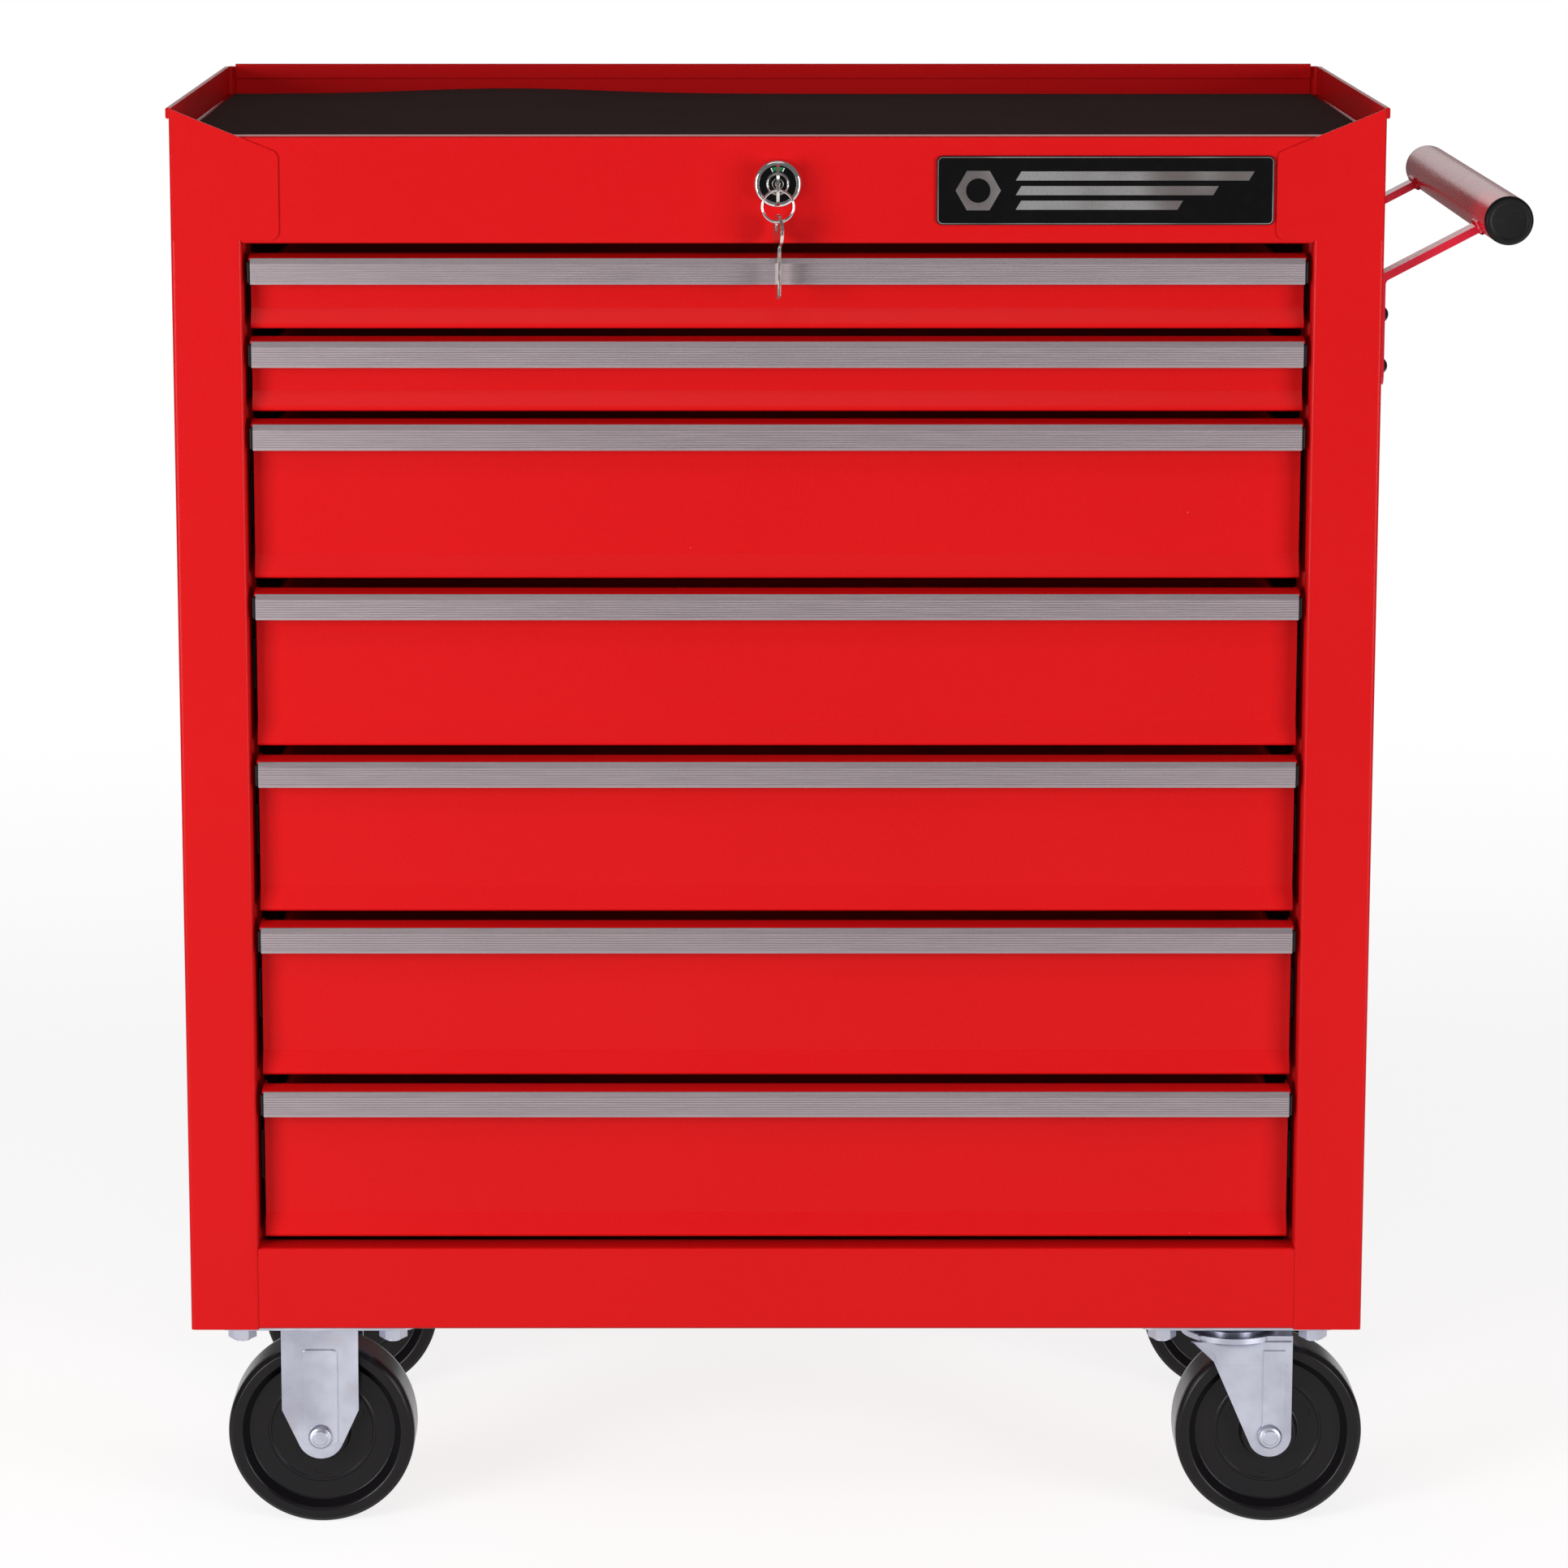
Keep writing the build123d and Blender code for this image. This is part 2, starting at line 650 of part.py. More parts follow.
def lock_plug():
    """The turning plug with its keyway, and the cam whose pin drives the locking bar."""
    start = RAIL_Y - BEZEL_PROUD - PLUG_PROUD
    plug = rod((0, start, LOCK_Z), (0, 1, 0), PLUG_R, PLUG_BACK - start)
    half = (KEY_T / 2 + BLADE_GAP, BLADE_H / 2 + BLADE_GAP)
    plug -= block((-half[0], half[0]), (start - 1, start + BLADE_L + 1),
                  (LOCK_Z - half[1], LOCK_Z + half[1]))
    arm = SlotCenterToCenter(CAM_R, 2 * PLUG_R)
    plug += along_y(Pos(CAM_R / 2, LOCK_Z) * arm, PLUG_BACK, PLUG_BACK + CAM_T)
    return plug + rod((CAM_R, PLUG_BACK, LOCK_Z), (0, 1, 0), PIN_R, CAM_T + PIN_L)


def blank_key():
    """A key in the (x, y) plane: bow above the origin, hole near its top, blade below it."""
    bow = Pos(0, BOW_L / 2) * Ellipse(BOW_W / 2, BOW_L / 2)
    hole = Pos(0, BOW_L - BOW_RIM - BOW_HOLE_R) * Circle(BOW_HOLE_R)
    tip = BLADE_H / 4
    blade = outline(
        (-BLADE_H / 2, 1),
        (-BLADE_H / 2, tip - BLADE_L),
        (-tip, -BLADE_L),
        (tip, -BLADE_L),
        (BLADE_H / 2, tip - BLADE_L),
        (BLADE_H / 2, 1),
    )
    notches = [Pos(BLADE_H / 2, -NOTCH_START - NOTCH_PITCH * i) * RegularPolygon(NOTCH_R, 4)
               for i in range(NOTCHES)]
    return bow + blade - hole - notches


def key():
    """The key in the lock, on edge."""
    plane = Plane(origin=(0, KEY_SHOULDER_Y, LOCK_Z), x_dir=(0, 0, 1), z_dir=(1, 0, 0))
    return extrude(plane * blank_key(), KEY_T / 2, both=True)


def ring_centre_z():
    """The ring hangs in the bow's hole, its wire just above the hole's lower rim."""
    return LOCK_Z - BOW_HOLE_R + RING_REST + WIRE_R - RING_R


def key_ring():
    """The split ring that joins the two keys."""
    return Pos(0, RING_Y, ring_centre_z()) * Rot(90, 0, 0) * Torus(RING_R, WIRE_R)


def spare_key():
    """The spare key, hanging from the ring nearly on edge."""
    top = ring_centre_z() - RING_R + WIRE_R + RING_REST + BOW_RIM
    plane = Plane(origin=(0, 0, 0), x_dir=(0, 1, 0), z_dir=(1, 0, 0))
    hanging = extrude(plane * blank_key(), KEY_T / 2, both=True)
    return Pos(0, RING_Y, top - BOW_L) * Rot(0, 0, SPARE_TWIST) * hanging


def lock_bar():
    """The locking bar: a slotted plate at the cam, an arm to the back, an upright and its hooks."""
    plate_y = PLUG_BACK + CAM_T + 1
    arm_z = LOCK_Z - EYE_DROP
    eye = (plate_y, plate_y + BAR_T)
    bar = block((-EYE_MARGIN, CAM_R + EYE_MARGIN), eye, (arm_z, LOCK_Z + EYE_MARGIN))
    bar -= block((-PIN_R - SLOT_END, CAM_R + PIN_R + SLOT_END), (eye[0] - 1, eye[1] + 1),
                 (LOCK_Z - PIN_R - SLOT_BELOW, LOCK_Z + PIN_R + SLOT_ABOVE))
    arm_x = (-BAR_ARM_HALF_W, BAR_ARM_HALF_W)
    bar += block(arm_x, (plate_y, BAR_Y + BAR_T), (arm_z - BAR_ARM_T, arm_z))
    foot = list(drawer_tops())[-1][0] - REAR_DROP - BAR_FOOT
    bar += block((-BAR_HALF_W, BAR_HALF_W), (BAR_Y, BAR_Y + BAR_T), (foot, arm_z))
    hook_x = (-HOOK_HALF_W, HOOK_HALF_W)
    tip_y = TRAY_BACK - SHEET - 2 * HOOK_T
    for top, _ in drawer_tops():
        low = top - REAR_DROP + HOOK_GAP
        high = low + BAR_TRAVEL
        bar += block(hook_x, (tip_y, BAR_Y + BAR_T / 4), (high - HOOK_T, high))
        bar += block(hook_x, (tip_y, tip_y + HOOK_T), (low, high))
    return bar


def handle_tube():
    """The round tube of the push handle."""
    start = (HANDLE_X, -TUBE_HALF_L, HANDLE_Z)
    tube = rod(start, (0, 1, 0), TUBE_R, 2 * TUBE_HALF_L)
    return tube - rod(start, (0, 1, 0), TUBE_R - TUBE_WALL, 2 * TUBE_HALF_L)


def handle_brackets():
    """Two flat-bar arms: a flange on the cabinet's side, then a slope up to the tube."""
    mid = ARM_T / 2
    bend = (HALF_W + mid, TOP_Z - ARM_DROP)
    path = [(bend[0], bend[1] - ARM_FLANGE), bend, (HANDLE_X, HANDLE_Z)]
    section = bent(path, ARM_T, ARM_BEND)
    core = rod((HANDLE_X, -DEPTH, HANDLE_Z), (0, 1, 0), TUBE_R, 2 * DEPTH)
    arms = []
    for y in (-ARM_Y, ARM_Y):
        arm = along_y(section, y - ARM_W / 2, y + ARM_W / 2) - core
        arm = fillet(arm.edges().filter_by(Axis.X).group_by(Axis.Z)[0], ARM_TOE_R)
        for drop in SCREW_DROPS:
            start = (HALF_W - 1, y, TOP_Z - ARM_DROP - drop)
            arm -= rod(start, (1, 0, 0), SCREW_R + 0.1, ARM_T + 2)
        arms.append(arm)
    return Compound(arms)


def handle_end_caps():
    """The push-in caps in the ends of the handle tube."""
    caps = []
    for sign in (-1, 1):
        face = (HANDLE_X, sign * TUBE_HALF_L, HANDLE_Z)
        lid = rod(face, (0, sign, 0), TUBE_R, END_CAP_T)
        lid = fillet(lid.edges().sort_by(Axis.Y)[-1 if sign > 0 else 0], END_CAP_EASE)
        caps.append(lid + rod(face, (0, -sign, 0), TUBE_R - TUBE_WALL - 0.1, END_CAP_PLUG))
    return Compound(caps)


def handle_screws():
    """The dome-headed screws and nuts that hold the handle's flanges."""
    screws = []
    head_x = HALF_W + ARM_T
    for y in (-ARM_Y, ARM_Y):
        for drop in SCREW_DROPS:
            z = TOP_Z - ARM_DROP - drop
            screw = Pos(head_x, y, z) * Rot(0, 90, 0) * dome(SCREW_HEAD_R, SCREW_HEAD_H, ARM_T + SCREW_END)
            nut = extrude(SIDE.offset(INNER_X - SCREW_NUT_H) * Pos(y, z) * hexagon(SCREW_NUT), SCREW_NUT_H)
            screws.append(screw + nut)
    return Compound(screws)


def caster_centres():
    """The middle of each caster's plate, rigid ones first."""
    return [(x, y) for x in (RIGID_X, SWIVEL_X) for y in (-CASTER_Y, CASTER_Y)]


def bolt_places(centre):
    """The four bolts of one caster's plate."""
    return [(centre[0] + i * BOLT_X / 2, centre[1] + j * BOLT_Y / 2) for i in (-1, 1) for j in (-1, 1)]


def caster_plate(centre):
    """A caster's top plate with its four holes."""
    x, y = centre
    face = Pos(x, y) * RectangleRounded(PLATE_X, PLATE_Y, PLATE_R)
    plate = up(face, PLATE_Z, BASE_Z)
    for px, py in bolt_places(centre):
        plate -= rod((px, py, PLATE_Z - 1), (0, 0, 1), BOLT_HOLE_R, PLATE_T + 2)
    return plate


def caster_bolts():
    """Sixteen bolts: head on the cabinet's floor, nut under the caster's plate."""
    bolts = []
    head_z = BASE_Z + SHEET
    for centre in caster_centres():
        for x, y in bolt_places(centre):
            bolt = up(Pos(x, y) * hexagon(BOLT_HEX), head_z, head_z + BOLT_HEAD_H)
            bolt += up(Pos(x, y) * hexagon(BOLT_HEX), PLATE_Z - NUT_H, PLATE_Z)
            foot = PLATE_Z - NUT_H - BOLT_END
            bolts.append(bolt + rod((x, y, foot), (0, 0, 1), BOLT_R, head_z - foot))
    return Compound(bolts)


def tangent_point(corner, centre, radius):
    """Where a line from a corner touches a circle, on its lower side seen from the corner."""
    dx, dz = corner[0] - centre[0], corner[1] - centre[1]
    side = -1 if dx > 0 else 1
    angle = atan2(dz, dx) + side * acos(radius / hypot(dx, dz))
    return centre[0] + radius * cos(angle), centre[1] + radius * sin(angle)


def leg_plates(face, rib, y):
    """Two legs of a fork either side of a wheel, each with a pressed rib on its outside."""
    inner = FORK_GAP / 2
    front = along_y(face, y - inner - FORK_T, y - inner)
    front += along_y(rib, y - inner - FORK_T - EMBOSS, y - inner - FORK_T + 0.1)
    back = along_y(face, y + inner, y + inner + FORK_T)
    back += along_y(rib, y + inner + FORK_T - 0.1, y + inner + FORK_T + EMBOSS)
    return front + back


def axle_hole(x, y):
    """The hole for an axle through both legs."""
    return rod((x, y - FORK_GAP, WHEEL_R), (0, 1, 0), AXLE_R + AXLE_GAP, 2 * FORK_GAP)


def rigid_fork(y):
    """A rigid caster's frame: top plate and two straight legs with pressed ribs."""
    half = RIGID_LEG_W / 2
    axle = (RIGID_X, WHEEL_R)
    right = (RIGID_X + half, RIGID_TAPER_Z)
    left = (RIGID_X - half, RIGID_TAPER_Z)
    face = outline(
        (left[0], BASE_Z - 1),
        left,
        tangent_point(left, axle, RIGID_END_R),
        tangent_point(right, axle, RIGID_END_R),
        right,
        (right[0], BASE_Z - 1),
    )
    face += Pos(*axle) * Circle(RIGID_END_R)
    rib_mid = (RIB_TOP + WHEEL_R - RIB_W / 4) / 2
    rib = Pos(RIGID_X, rib_mid) * RectangleRounded(RIB_W, 2 * (RIB_TOP - rib_mid), RIB_R)
    fork = caster_plate((RIGID_X, y)) + leg_plates(face, rib, y)
    return fork - axle_hole(RIGID_X, y)


def swivel_fork(y):
    """A swivel caster's fork: crown, bearing ring and two raked legs."""
    axle = (SWIVEL_X + TRAIL, WHEEL_R)
    corner = (SWIVEL_X - SWIVEL_LEG_X, CROWN_TOP - SWIVEL_LEG_DROP)
    back_x = axle[0] + SWIVEL_END_R
    face = outline(
        (corner[0] - SWIVEL_LEG_FLARE, CROWN_TOP - 0.1),
        corner,
        tangent_point(corner, axle, SWIVEL_END_R),
        (back_x, WHEEL_R),
        (back_x, CROWN_TOP - 0.1),
    )
    face += Pos(*axle) * Circle(SWIVEL_END_R)
    left, right = axle[0] + SWIVEL_RIB_X[0], axle[0] + SWIVEL_RIB_X[1]
    top = CROWN_TOP - SWIVEL_RIB_DROP
    rib = outline((left, top), (left, WHEEL_R), (right, WHEEL_R), (right, top))
    bottom = CROWN_TOP - CROWN_T
    half = FORK_GAP / 2 + FORK_T
    crown = rod((SWIVEL_X, y, bottom), (0, 0, 1), CROWN_R, CROWN_T)
    crown += block((SWIVEL_X - CROWN_BLOCK_X, back_x), (y - half, y + half), (bottom, CROWN_TOP))
    crown += rod((SWIVEL_X, y, CROWN_TOP - 0.1), (0, 0, 1), RACE_RING_R, RACE_Z - CROWN_TOP - RACE_GAP)
    hole = rod((SWIVEL_X, y, bottom - 1), (0, 0, 1), KINGPIN_R + KINGPIN_GAP, 20)
    return crown + leg_plates(face, rib, y) - hole - axle_hole(axle[0], y)


def swivel_caster_plates():
    """The swivel casters' top plates, each with its race and kingpin."""
    plates = []
    for y in (-CASTER_Y, CASTER_Y):
        plate = caster_plate((SWIVEL_X, y))
        race = rod((SWIVEL_X, y, RACE_Z), (0, 0, 1), RACE_R, PLATE_Z - RACE_Z + 0.1)
        plate += chamfer(race.edges().sort_by(Axis.Z)[0], RACE_CHAMFER)
        foot = KINGPIN_FOOT
        plate += rod((SWIVEL_X, y, foot), (0, 0, 1), KINGPIN_R, PLATE_Z - foot)
        plates.append(plate + rod((SWIVEL_X, y, foot), (0, 0, 1), KINGPIN_HEAD_R, KINGPIN_HEAD_H))
    return Compound(plates)


def axle(x, y):
    """A riveted axle with a domed head outside each leg."""
    reach = FORK_GAP / 2 + FORK_T + EMBOSS
    pin = rod((x, y - reach, WHEEL_R), (0, 1, 0), AXLE_R, 2 * reach)
    head = dome(RIVET_R, RIVET_H)
    front = Pos(x, y - reach, WHEEL_R) * Rot(90, 0, 0) * head
    back = Pos(x, y + reach, WHEEL_R) * Rot(-90, 0, 0) * head
    return pin + front + back


def wheel(x, y):
    """A one-piece plastic wheel: hub, dished web with a ridge, and a stepped rim."""
    rim = WHEEL_W / 2
    half = [
        (AXLE_R + AXLE_GAP, 0),
        (AXLE_R + AXLE_GAP, HUB_W / 2),
        (HUB_R - 1, HUB_W / 2),
        (HUB_R, HUB_W / 2 - 1),
        (HUB_R + 0.8, rim - 6),
        (27, rim - 6.4),
        (27.6, rim - 5),
        (28.8, rim - 5),
        (29.4, rim - 6.4),
        (41, rim - 6.8),
        (42, rim - 2),
        (45.6, rim - 1.4),
        (46, rim),
        (WHEEL_R - 1.6, rim),
        (WHEEL_R - 0.4, rim - 1.2),
        (WHEEL_R, rim - 3.4),
        (WHEEL_R, 0),
    ]
    section = outline(*half)
    section += mirror(section, about=Plane.XZ)
    solid = revolve(section, Axis.Y)
    return Pos(x, y, WHEEL_R) * solid


def model():
    """Every node by name, in cabinet coordinates."""
    nodes = side_panels()
    for i, (top, height) in enumerate(drawer_tops(), 1):
        nodes[f"drawer_{i}_box"] = drawer_box(top, height)
        nodes[f"drawer_{i}_pull"] = drawer_pull(top)
        nodes[f"drawer_{i}_pull_caps"] = pull_caps(top)
        nodes[f"drawer_{i}_runners"] = drawer_runners(top, height)
    for make in (
        back_panel, front_top_rail, floor_pan, top_tray, top_mat, slide_posts, slide_channels,
        badge_plate, lock_housing, lock_plug, lock_bar, key, key_ring, spare_key, handle_tube,
        handle_brackets, handle_end_caps, handle_screws, swivel_caster_plates, caster_bolts,
    ):
        nodes[make.__name__] = make()
    sides = {"front": -CASTER_Y, "rear": CASTER_Y}
    nodes["rigid_caster_forks"] = Compound([rigid_fork(y) for y in sides.values()])
    nodes["rigid_axles"] = Compound([axle(RIGID_X, y) for y in sides.values()])
    for end, y in sides.items():
        nodes[f"swivel_fork_{end}"] = swivel_fork(y)
        nodes[f"swivel_axle_{end}"] = axle(SWIVEL_X + TRAIL, y)
        nodes[f"rigid_wheel_{end}"] = wheel(RIGID_X, y)
        nodes[f"swivel_wheel_{end}"] = wheel(SWIVEL_X + TRAIL, y)
    return nodes


if __name__ == "__main__":
    os.makedirs("parts", exist_ok=True)
    to_origin = Pos(-ORIGIN[0], -ORIGIN[1], -ORIGIN[2])
    for name, shape in model().items():
        export_step(to_origin * shape, f"parts/{name}.step")
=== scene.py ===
import json
from math import acos, cos, exp, pi, radians, sin, tan

import bmesh
import bpy
from mathutils import Matrix, Vector


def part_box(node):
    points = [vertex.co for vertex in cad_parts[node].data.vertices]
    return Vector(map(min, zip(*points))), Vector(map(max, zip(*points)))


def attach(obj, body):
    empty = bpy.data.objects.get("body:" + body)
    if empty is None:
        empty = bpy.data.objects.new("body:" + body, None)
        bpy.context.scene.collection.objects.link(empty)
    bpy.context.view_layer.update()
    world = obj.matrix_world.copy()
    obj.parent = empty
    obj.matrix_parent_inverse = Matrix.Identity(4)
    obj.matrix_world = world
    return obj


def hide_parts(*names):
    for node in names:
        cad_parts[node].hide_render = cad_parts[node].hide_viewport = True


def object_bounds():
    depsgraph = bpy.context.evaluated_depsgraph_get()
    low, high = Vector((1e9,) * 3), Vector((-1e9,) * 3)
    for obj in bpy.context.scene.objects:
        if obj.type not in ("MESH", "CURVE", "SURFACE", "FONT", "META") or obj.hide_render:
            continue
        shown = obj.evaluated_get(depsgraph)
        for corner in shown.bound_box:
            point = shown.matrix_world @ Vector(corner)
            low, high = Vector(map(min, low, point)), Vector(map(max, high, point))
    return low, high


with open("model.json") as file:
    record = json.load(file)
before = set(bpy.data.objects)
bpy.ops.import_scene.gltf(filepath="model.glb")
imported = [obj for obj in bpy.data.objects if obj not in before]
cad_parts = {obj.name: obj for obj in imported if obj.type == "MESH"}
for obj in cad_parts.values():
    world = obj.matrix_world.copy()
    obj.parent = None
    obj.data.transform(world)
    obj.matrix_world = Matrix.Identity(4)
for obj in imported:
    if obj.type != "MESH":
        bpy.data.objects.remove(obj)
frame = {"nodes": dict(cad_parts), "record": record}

# The finishes and fine pieces of a rolling tool chest: a red sheet-steel cabinet with seven drawers,
# a lock with two keys, a push handle and four casters. Metres, +Z up, the drawers open towards -Y.

MM = 0.001
CAD_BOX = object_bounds()
ROOT = "cabinet"
ENDS = (("front", -1), ("rear", 1))

# Camera: a long lens at about eye height for someone crouching, looking slightly down
CAMERA_PLACE = (-59.56 * MM, -2899.7 * MM, 956.1 * MM)
CAMERA_PITCH = 0.1843
CAMERA_YAW = 0.0004
CAMERA_LENS = 124.4
CAMERA_SENSOR = 36.0
CAMERA_SHIFT = (0.0312, -0.04)

# Studio: each soft box's place, width, height and power
SOFTBOXES = {
    "softbox_left": ((-1.55, -1.75, 0.58), 0.9, 1.15, 34),
    "softbox_right": ((1.65, -1.75, 0.50), 0.9, 1.15, 28),
    "softbox_top": ((-0.2, -1.9, 2.3), 1.4, 0.7, 6),
    "softbox_back": ((0.1, 2.4, 1.5), 1.8, 1.2, 5),
}
LIGHTS_AIM = (0, 0, 0.42)
ROOM_LIGHT = 0.17
BACKGROUND = 1.0
FLOOR_R = 2.5
FLOOR_GLOW = 0.80
FLOOR_FADE = (0.9, 2.4)

# Top mat and tray
MAT_COLUMNS = 96
MAT_ROWS = 40
MAT_HUMP = 3.2 * MM
MAT_HUMP_X = -185 * MM
MAT_HUMP_W = 75 * MM
MAT_HUMP_REACH = 100 * MM
MAT_WAVE = 0.16 * MM
MAT_MARGIN = 50 * MM
MAT_EDGE_R = 0.7 * MM
COVE_R = 2.2 * MM
COVE_STEPS = 8
COVE_WALL = 2.8 * MM
COVE_ENDS = (18 * MM, -1 * MM)

# Lock: radii, and angles in degrees from +X towards +Z
LOCK_FACE_R = (5.9 * MM, 9.4 * MM)
LOCK_FACE_DROP = 0.6 * MM
LOCK_FACE_T = 0.35 * MM
LOCK_PRINT_T = 0.06 * MM
LOCK_MARK_R = (6.7 * MM, 8.6 * MM)
LOCK_MARK_ANGLES = (72, 108)
LOCK_TICK_R = (6.5 * MM, 8.7 * MM)
LOCK_TICK_ANGLES = {"left": 111, "right": 66}
LOCK_TICK_SPAN = 4
PLUG_RIM_R = (4.75 * MM, 5.35 * MM)
PLUG_RIM_REACH = (-0.35 * MM, 0.1 * MM)
PLUG_RIM_EDGE = 0.15 * MM
PLUG_FACE_R = (1.5 * MM, 4.75 * MM)
PLUG_FACE_PROUD = 0.15 * MM
PLUG_FACE_T = 0.2 * MM
PLUG_FACE_STARTS = {"left": 102, "right": -78}
PLUG_FACE_SPAN = 156
PLUG_ARC_R = (2.4 * MM, 2.9 * MM)
PLUG_ARC_PROUD = 0.3 * MM
PLUG_ARC_T = 0.4 * MM
PLUG_ARC_STARTS = {"left": 115, "right": -65}
PLUG_ARC_SPAN = 130

# Badge
BADGE_RIM_IN = 0.5 * MM
BADGE_RIM_W = 0.45 * MM
BADGE_RIM_T = 0.3 * MM
BADGE_RIM_PROUD = 0.05 * MM
BADGE_CORNER = 2.6 * MM
BADGE_PRINT_T = 0.14 * MM
BADGE_PRINT_PROUD = 0.12 * MM
NUT_X = 21 * MM
NUT_CORNER = 11.5 * MM
NUT_HOLE_R = 6.2 * MM
NUT_STEP = 7.5
BAR_X = 40 * MM
BAR_LENGTHS = (118 * MM, 100 * MM, 82 * MM)
BAR_H = 4.6 * MM
BAR_PITCH = 7.4 * MM
BAR_LEAN = 0.6 * BAR_H

# Wheels
WHEEL_SEGMENTS = 144
WHEEL_MARKS = (25, 155, 265)
MARK_PLACE_R = 21.5 * MM
MARK_PLACE_Y = 9.75 * MM
MARK_R = 3.0 * MM
MARK_BEAD_R = 0.14 * MM
MARK_STEPS = 32

# Casters: the shoulder's sizes are from the swivel's axis
CASTER_Y = 114.0 * MM
AXLE_HEAD_Y = 22.5 * MM
CROWN_R = 27.5 * MM
CROWN_SINK = 4.5 * MM
LEG_Y = 21.5 * MM
LEG_LEFT = -9.5 * MM
LEG_INSET = 0.6 * MM
SHOULDER_LEFT = -23.5 * MM
SHOULDER_DROP = 13 * MM
SHOULDER_COLUMNS = 36
SHOULDER_ROWS = 10
SHOULDER_LEAST = 1.4 * MM
SHOULDER_UNDER_RIM = 0.4 * MM
SHOULDER_PROUD = 0.12 * MM
SHOULDER_DEPTH = 1 * MM

# Handle
TUBE_R = 12.5 * MM
ARM_W = 16.0 * MM
ARM_T = 4.0 * MM
ARM_Y = 132 * MM
ARM_FOOT_H = 55 * MM
WELD_R = 1.5 * MM
WELD_OUT = 0.4 * MM
WELD_PITCH = 2.6 * MM
WELD_RIPPLE = 0.10
WELD_STEPS = 12


class Value:
    """A socket in a finish's node tree. Arithmetic on it adds Math nodes."""

    def __init__(self, finish, socket):
        self.finish = finish
        self.socket = socket

    def maths(self, operation, *terms):
        return self.finish.node("ShaderNodeMath", {"operation": operation}, dict(enumerate(terms)))

    def __add__(self, other):
        return self.maths("ADD", self, other)

    def __sub__(self, other):
        return self.maths("SUBTRACT", self, other)

    def __rsub__(self, other):
        return self.maths("SUBTRACT", other, self)

    def __mul__(self, other):
        return self.maths("MULTIPLY", self, other)

    __radd__ = __add__
    __rmul__ = __mul__

    def sine(self):
        return self.maths("SINE", self)

    def ramp(self, low, high):
        """0 below low, 1 above high, smooth in between; the other way round if low is the larger."""
        ends = {"Value": self, "From Min": low, "From Max": high}
        return self.finish.node("ShaderNodeMapRange", {"interpolation_type": "SMOOTHSTEP"}, ends)


class Finish:
    """A material in the making, and short ways to add nodes to it."""

    def __init__(self, name, **constants):
        self.material = bpy.data.materials.new(name)
        self.material.use_nodes = True
        self.tree = self.material.node_tree
        self.surface = self.tree.nodes["Principled BSDF"]
        self.feed(**constants)
        self.place = self.node("ShaderNodeTexCoord", output="Object")

    def node(self, kind, settings=None, inputs=None, output=0):
        """Any node: its settings first, then the values or links of its sockets."""
        made = self.tree.nodes.new(kind)
        for name, value in (settings or {}).items():
            setattr(made, name, value)
        for socket, value in (inputs or {}).items():
            self.join(value, made.inputs[socket])
        return Value(self, made.outputs[output])

    def join(self, value, socket):
        """Links a value to a socket, or sets the socket to a plain number or colour."""
        if isinstance(value, Value):
            self.tree.links.new(value.socket, socket)
        else:
            socket.default_value = value

    def feed(self, **sockets):
        """Sets the surface's own sockets."""
        for name, value in sockets.items():
            self.join(value, self.surface.inputs[name.replace("_", " ")])
        return self

    def stretched(self, size, stretch):
        """The object's coordinates in units of size metres, drawn out along each axis by stretch."""
        scale = [1 / (size * s) for s in stretch]
        return self.node("ShaderNodeMapping", None, {"Vector": self.place, "Scale": scale})

    def noise(self, size, detail=2.0, stretch=(1, 1, 1)):
        """Noise from 0 to 1 in lumps of about size metres."""
        where = {"Vector": self.stretched(size, stretch), "Scale": 1.0, "Detail": detail}
        return self.node("ShaderNodeTexNoise", None, where)

    def along(self, axis):
        """The x, y or z of a point in metres."""
        return self.node("ShaderNodeSeparateXYZ", None, {"Vector": self.place}, axis)

    def specks(self, spacing, radius, share):
        """Small round specks: one at most in each cell of that spacing, in that share of the cells."""
        where = {"Vector": self.stretched(spacing, (1, 1, 1)), "Scale": 1.0}
        settings = {"feature": "F1", "distance": "EUCLIDEAN"}
        near = self.node("ShaderNodeTexVoronoi", settings, where, "Distance")
        colour = self.node("ShaderNodeTexVoronoi", settings, where, "Color")
        lot = self.node("ShaderNodeSeparateColor", None, {"Color": colour}, "Red")
        inside = near.ramp(radius / spacing, 0.4 * radius / spacing)
        return inside * lot.ramp(1 - share, 1 - 0.9 * share)

    def blend(self, share, first, second):
        """A colour between two, at a share from 0 to 1."""
        settings = {"data_type": "RGBA", "blend_type": "MIX"}
        return self.node("ShaderNodeMix", settings, {0: share, 6: first, 7: second}, 2)

    def bump(self, height, depth, under=None):
        """A normal from a height that goes from 0 to 1 over that depth in metres."""
        inputs = {"Height": height, "Distance": depth, "Strength": 1.0}
        if under:
            inputs["Normal"] = under
        return self.node("ShaderNodeBump", None, inputs)

    def eased(self, radius):
        """The normal of a surface whose sharp edges are rounded to that radius."""
        return self.node("ShaderNodeBevel", {"samples": 4}, {"Radius": radius})

    def edges(self, radius):
        """1 on sharp edges and 0 away from them."""
        true = self.node("ShaderNodeNewGeometry", output="Normal")
        terms = {0: self.eased(radius), 1: true}
        agreement = self.node("ShaderNodeVectorMath", {"operation": "DOT_PRODUCT"}, terms, "Value")
        return agreement.ramp(0.99, 0.8)


def rgb(red, green, blue):
    return (red, green, blue, 1.0)


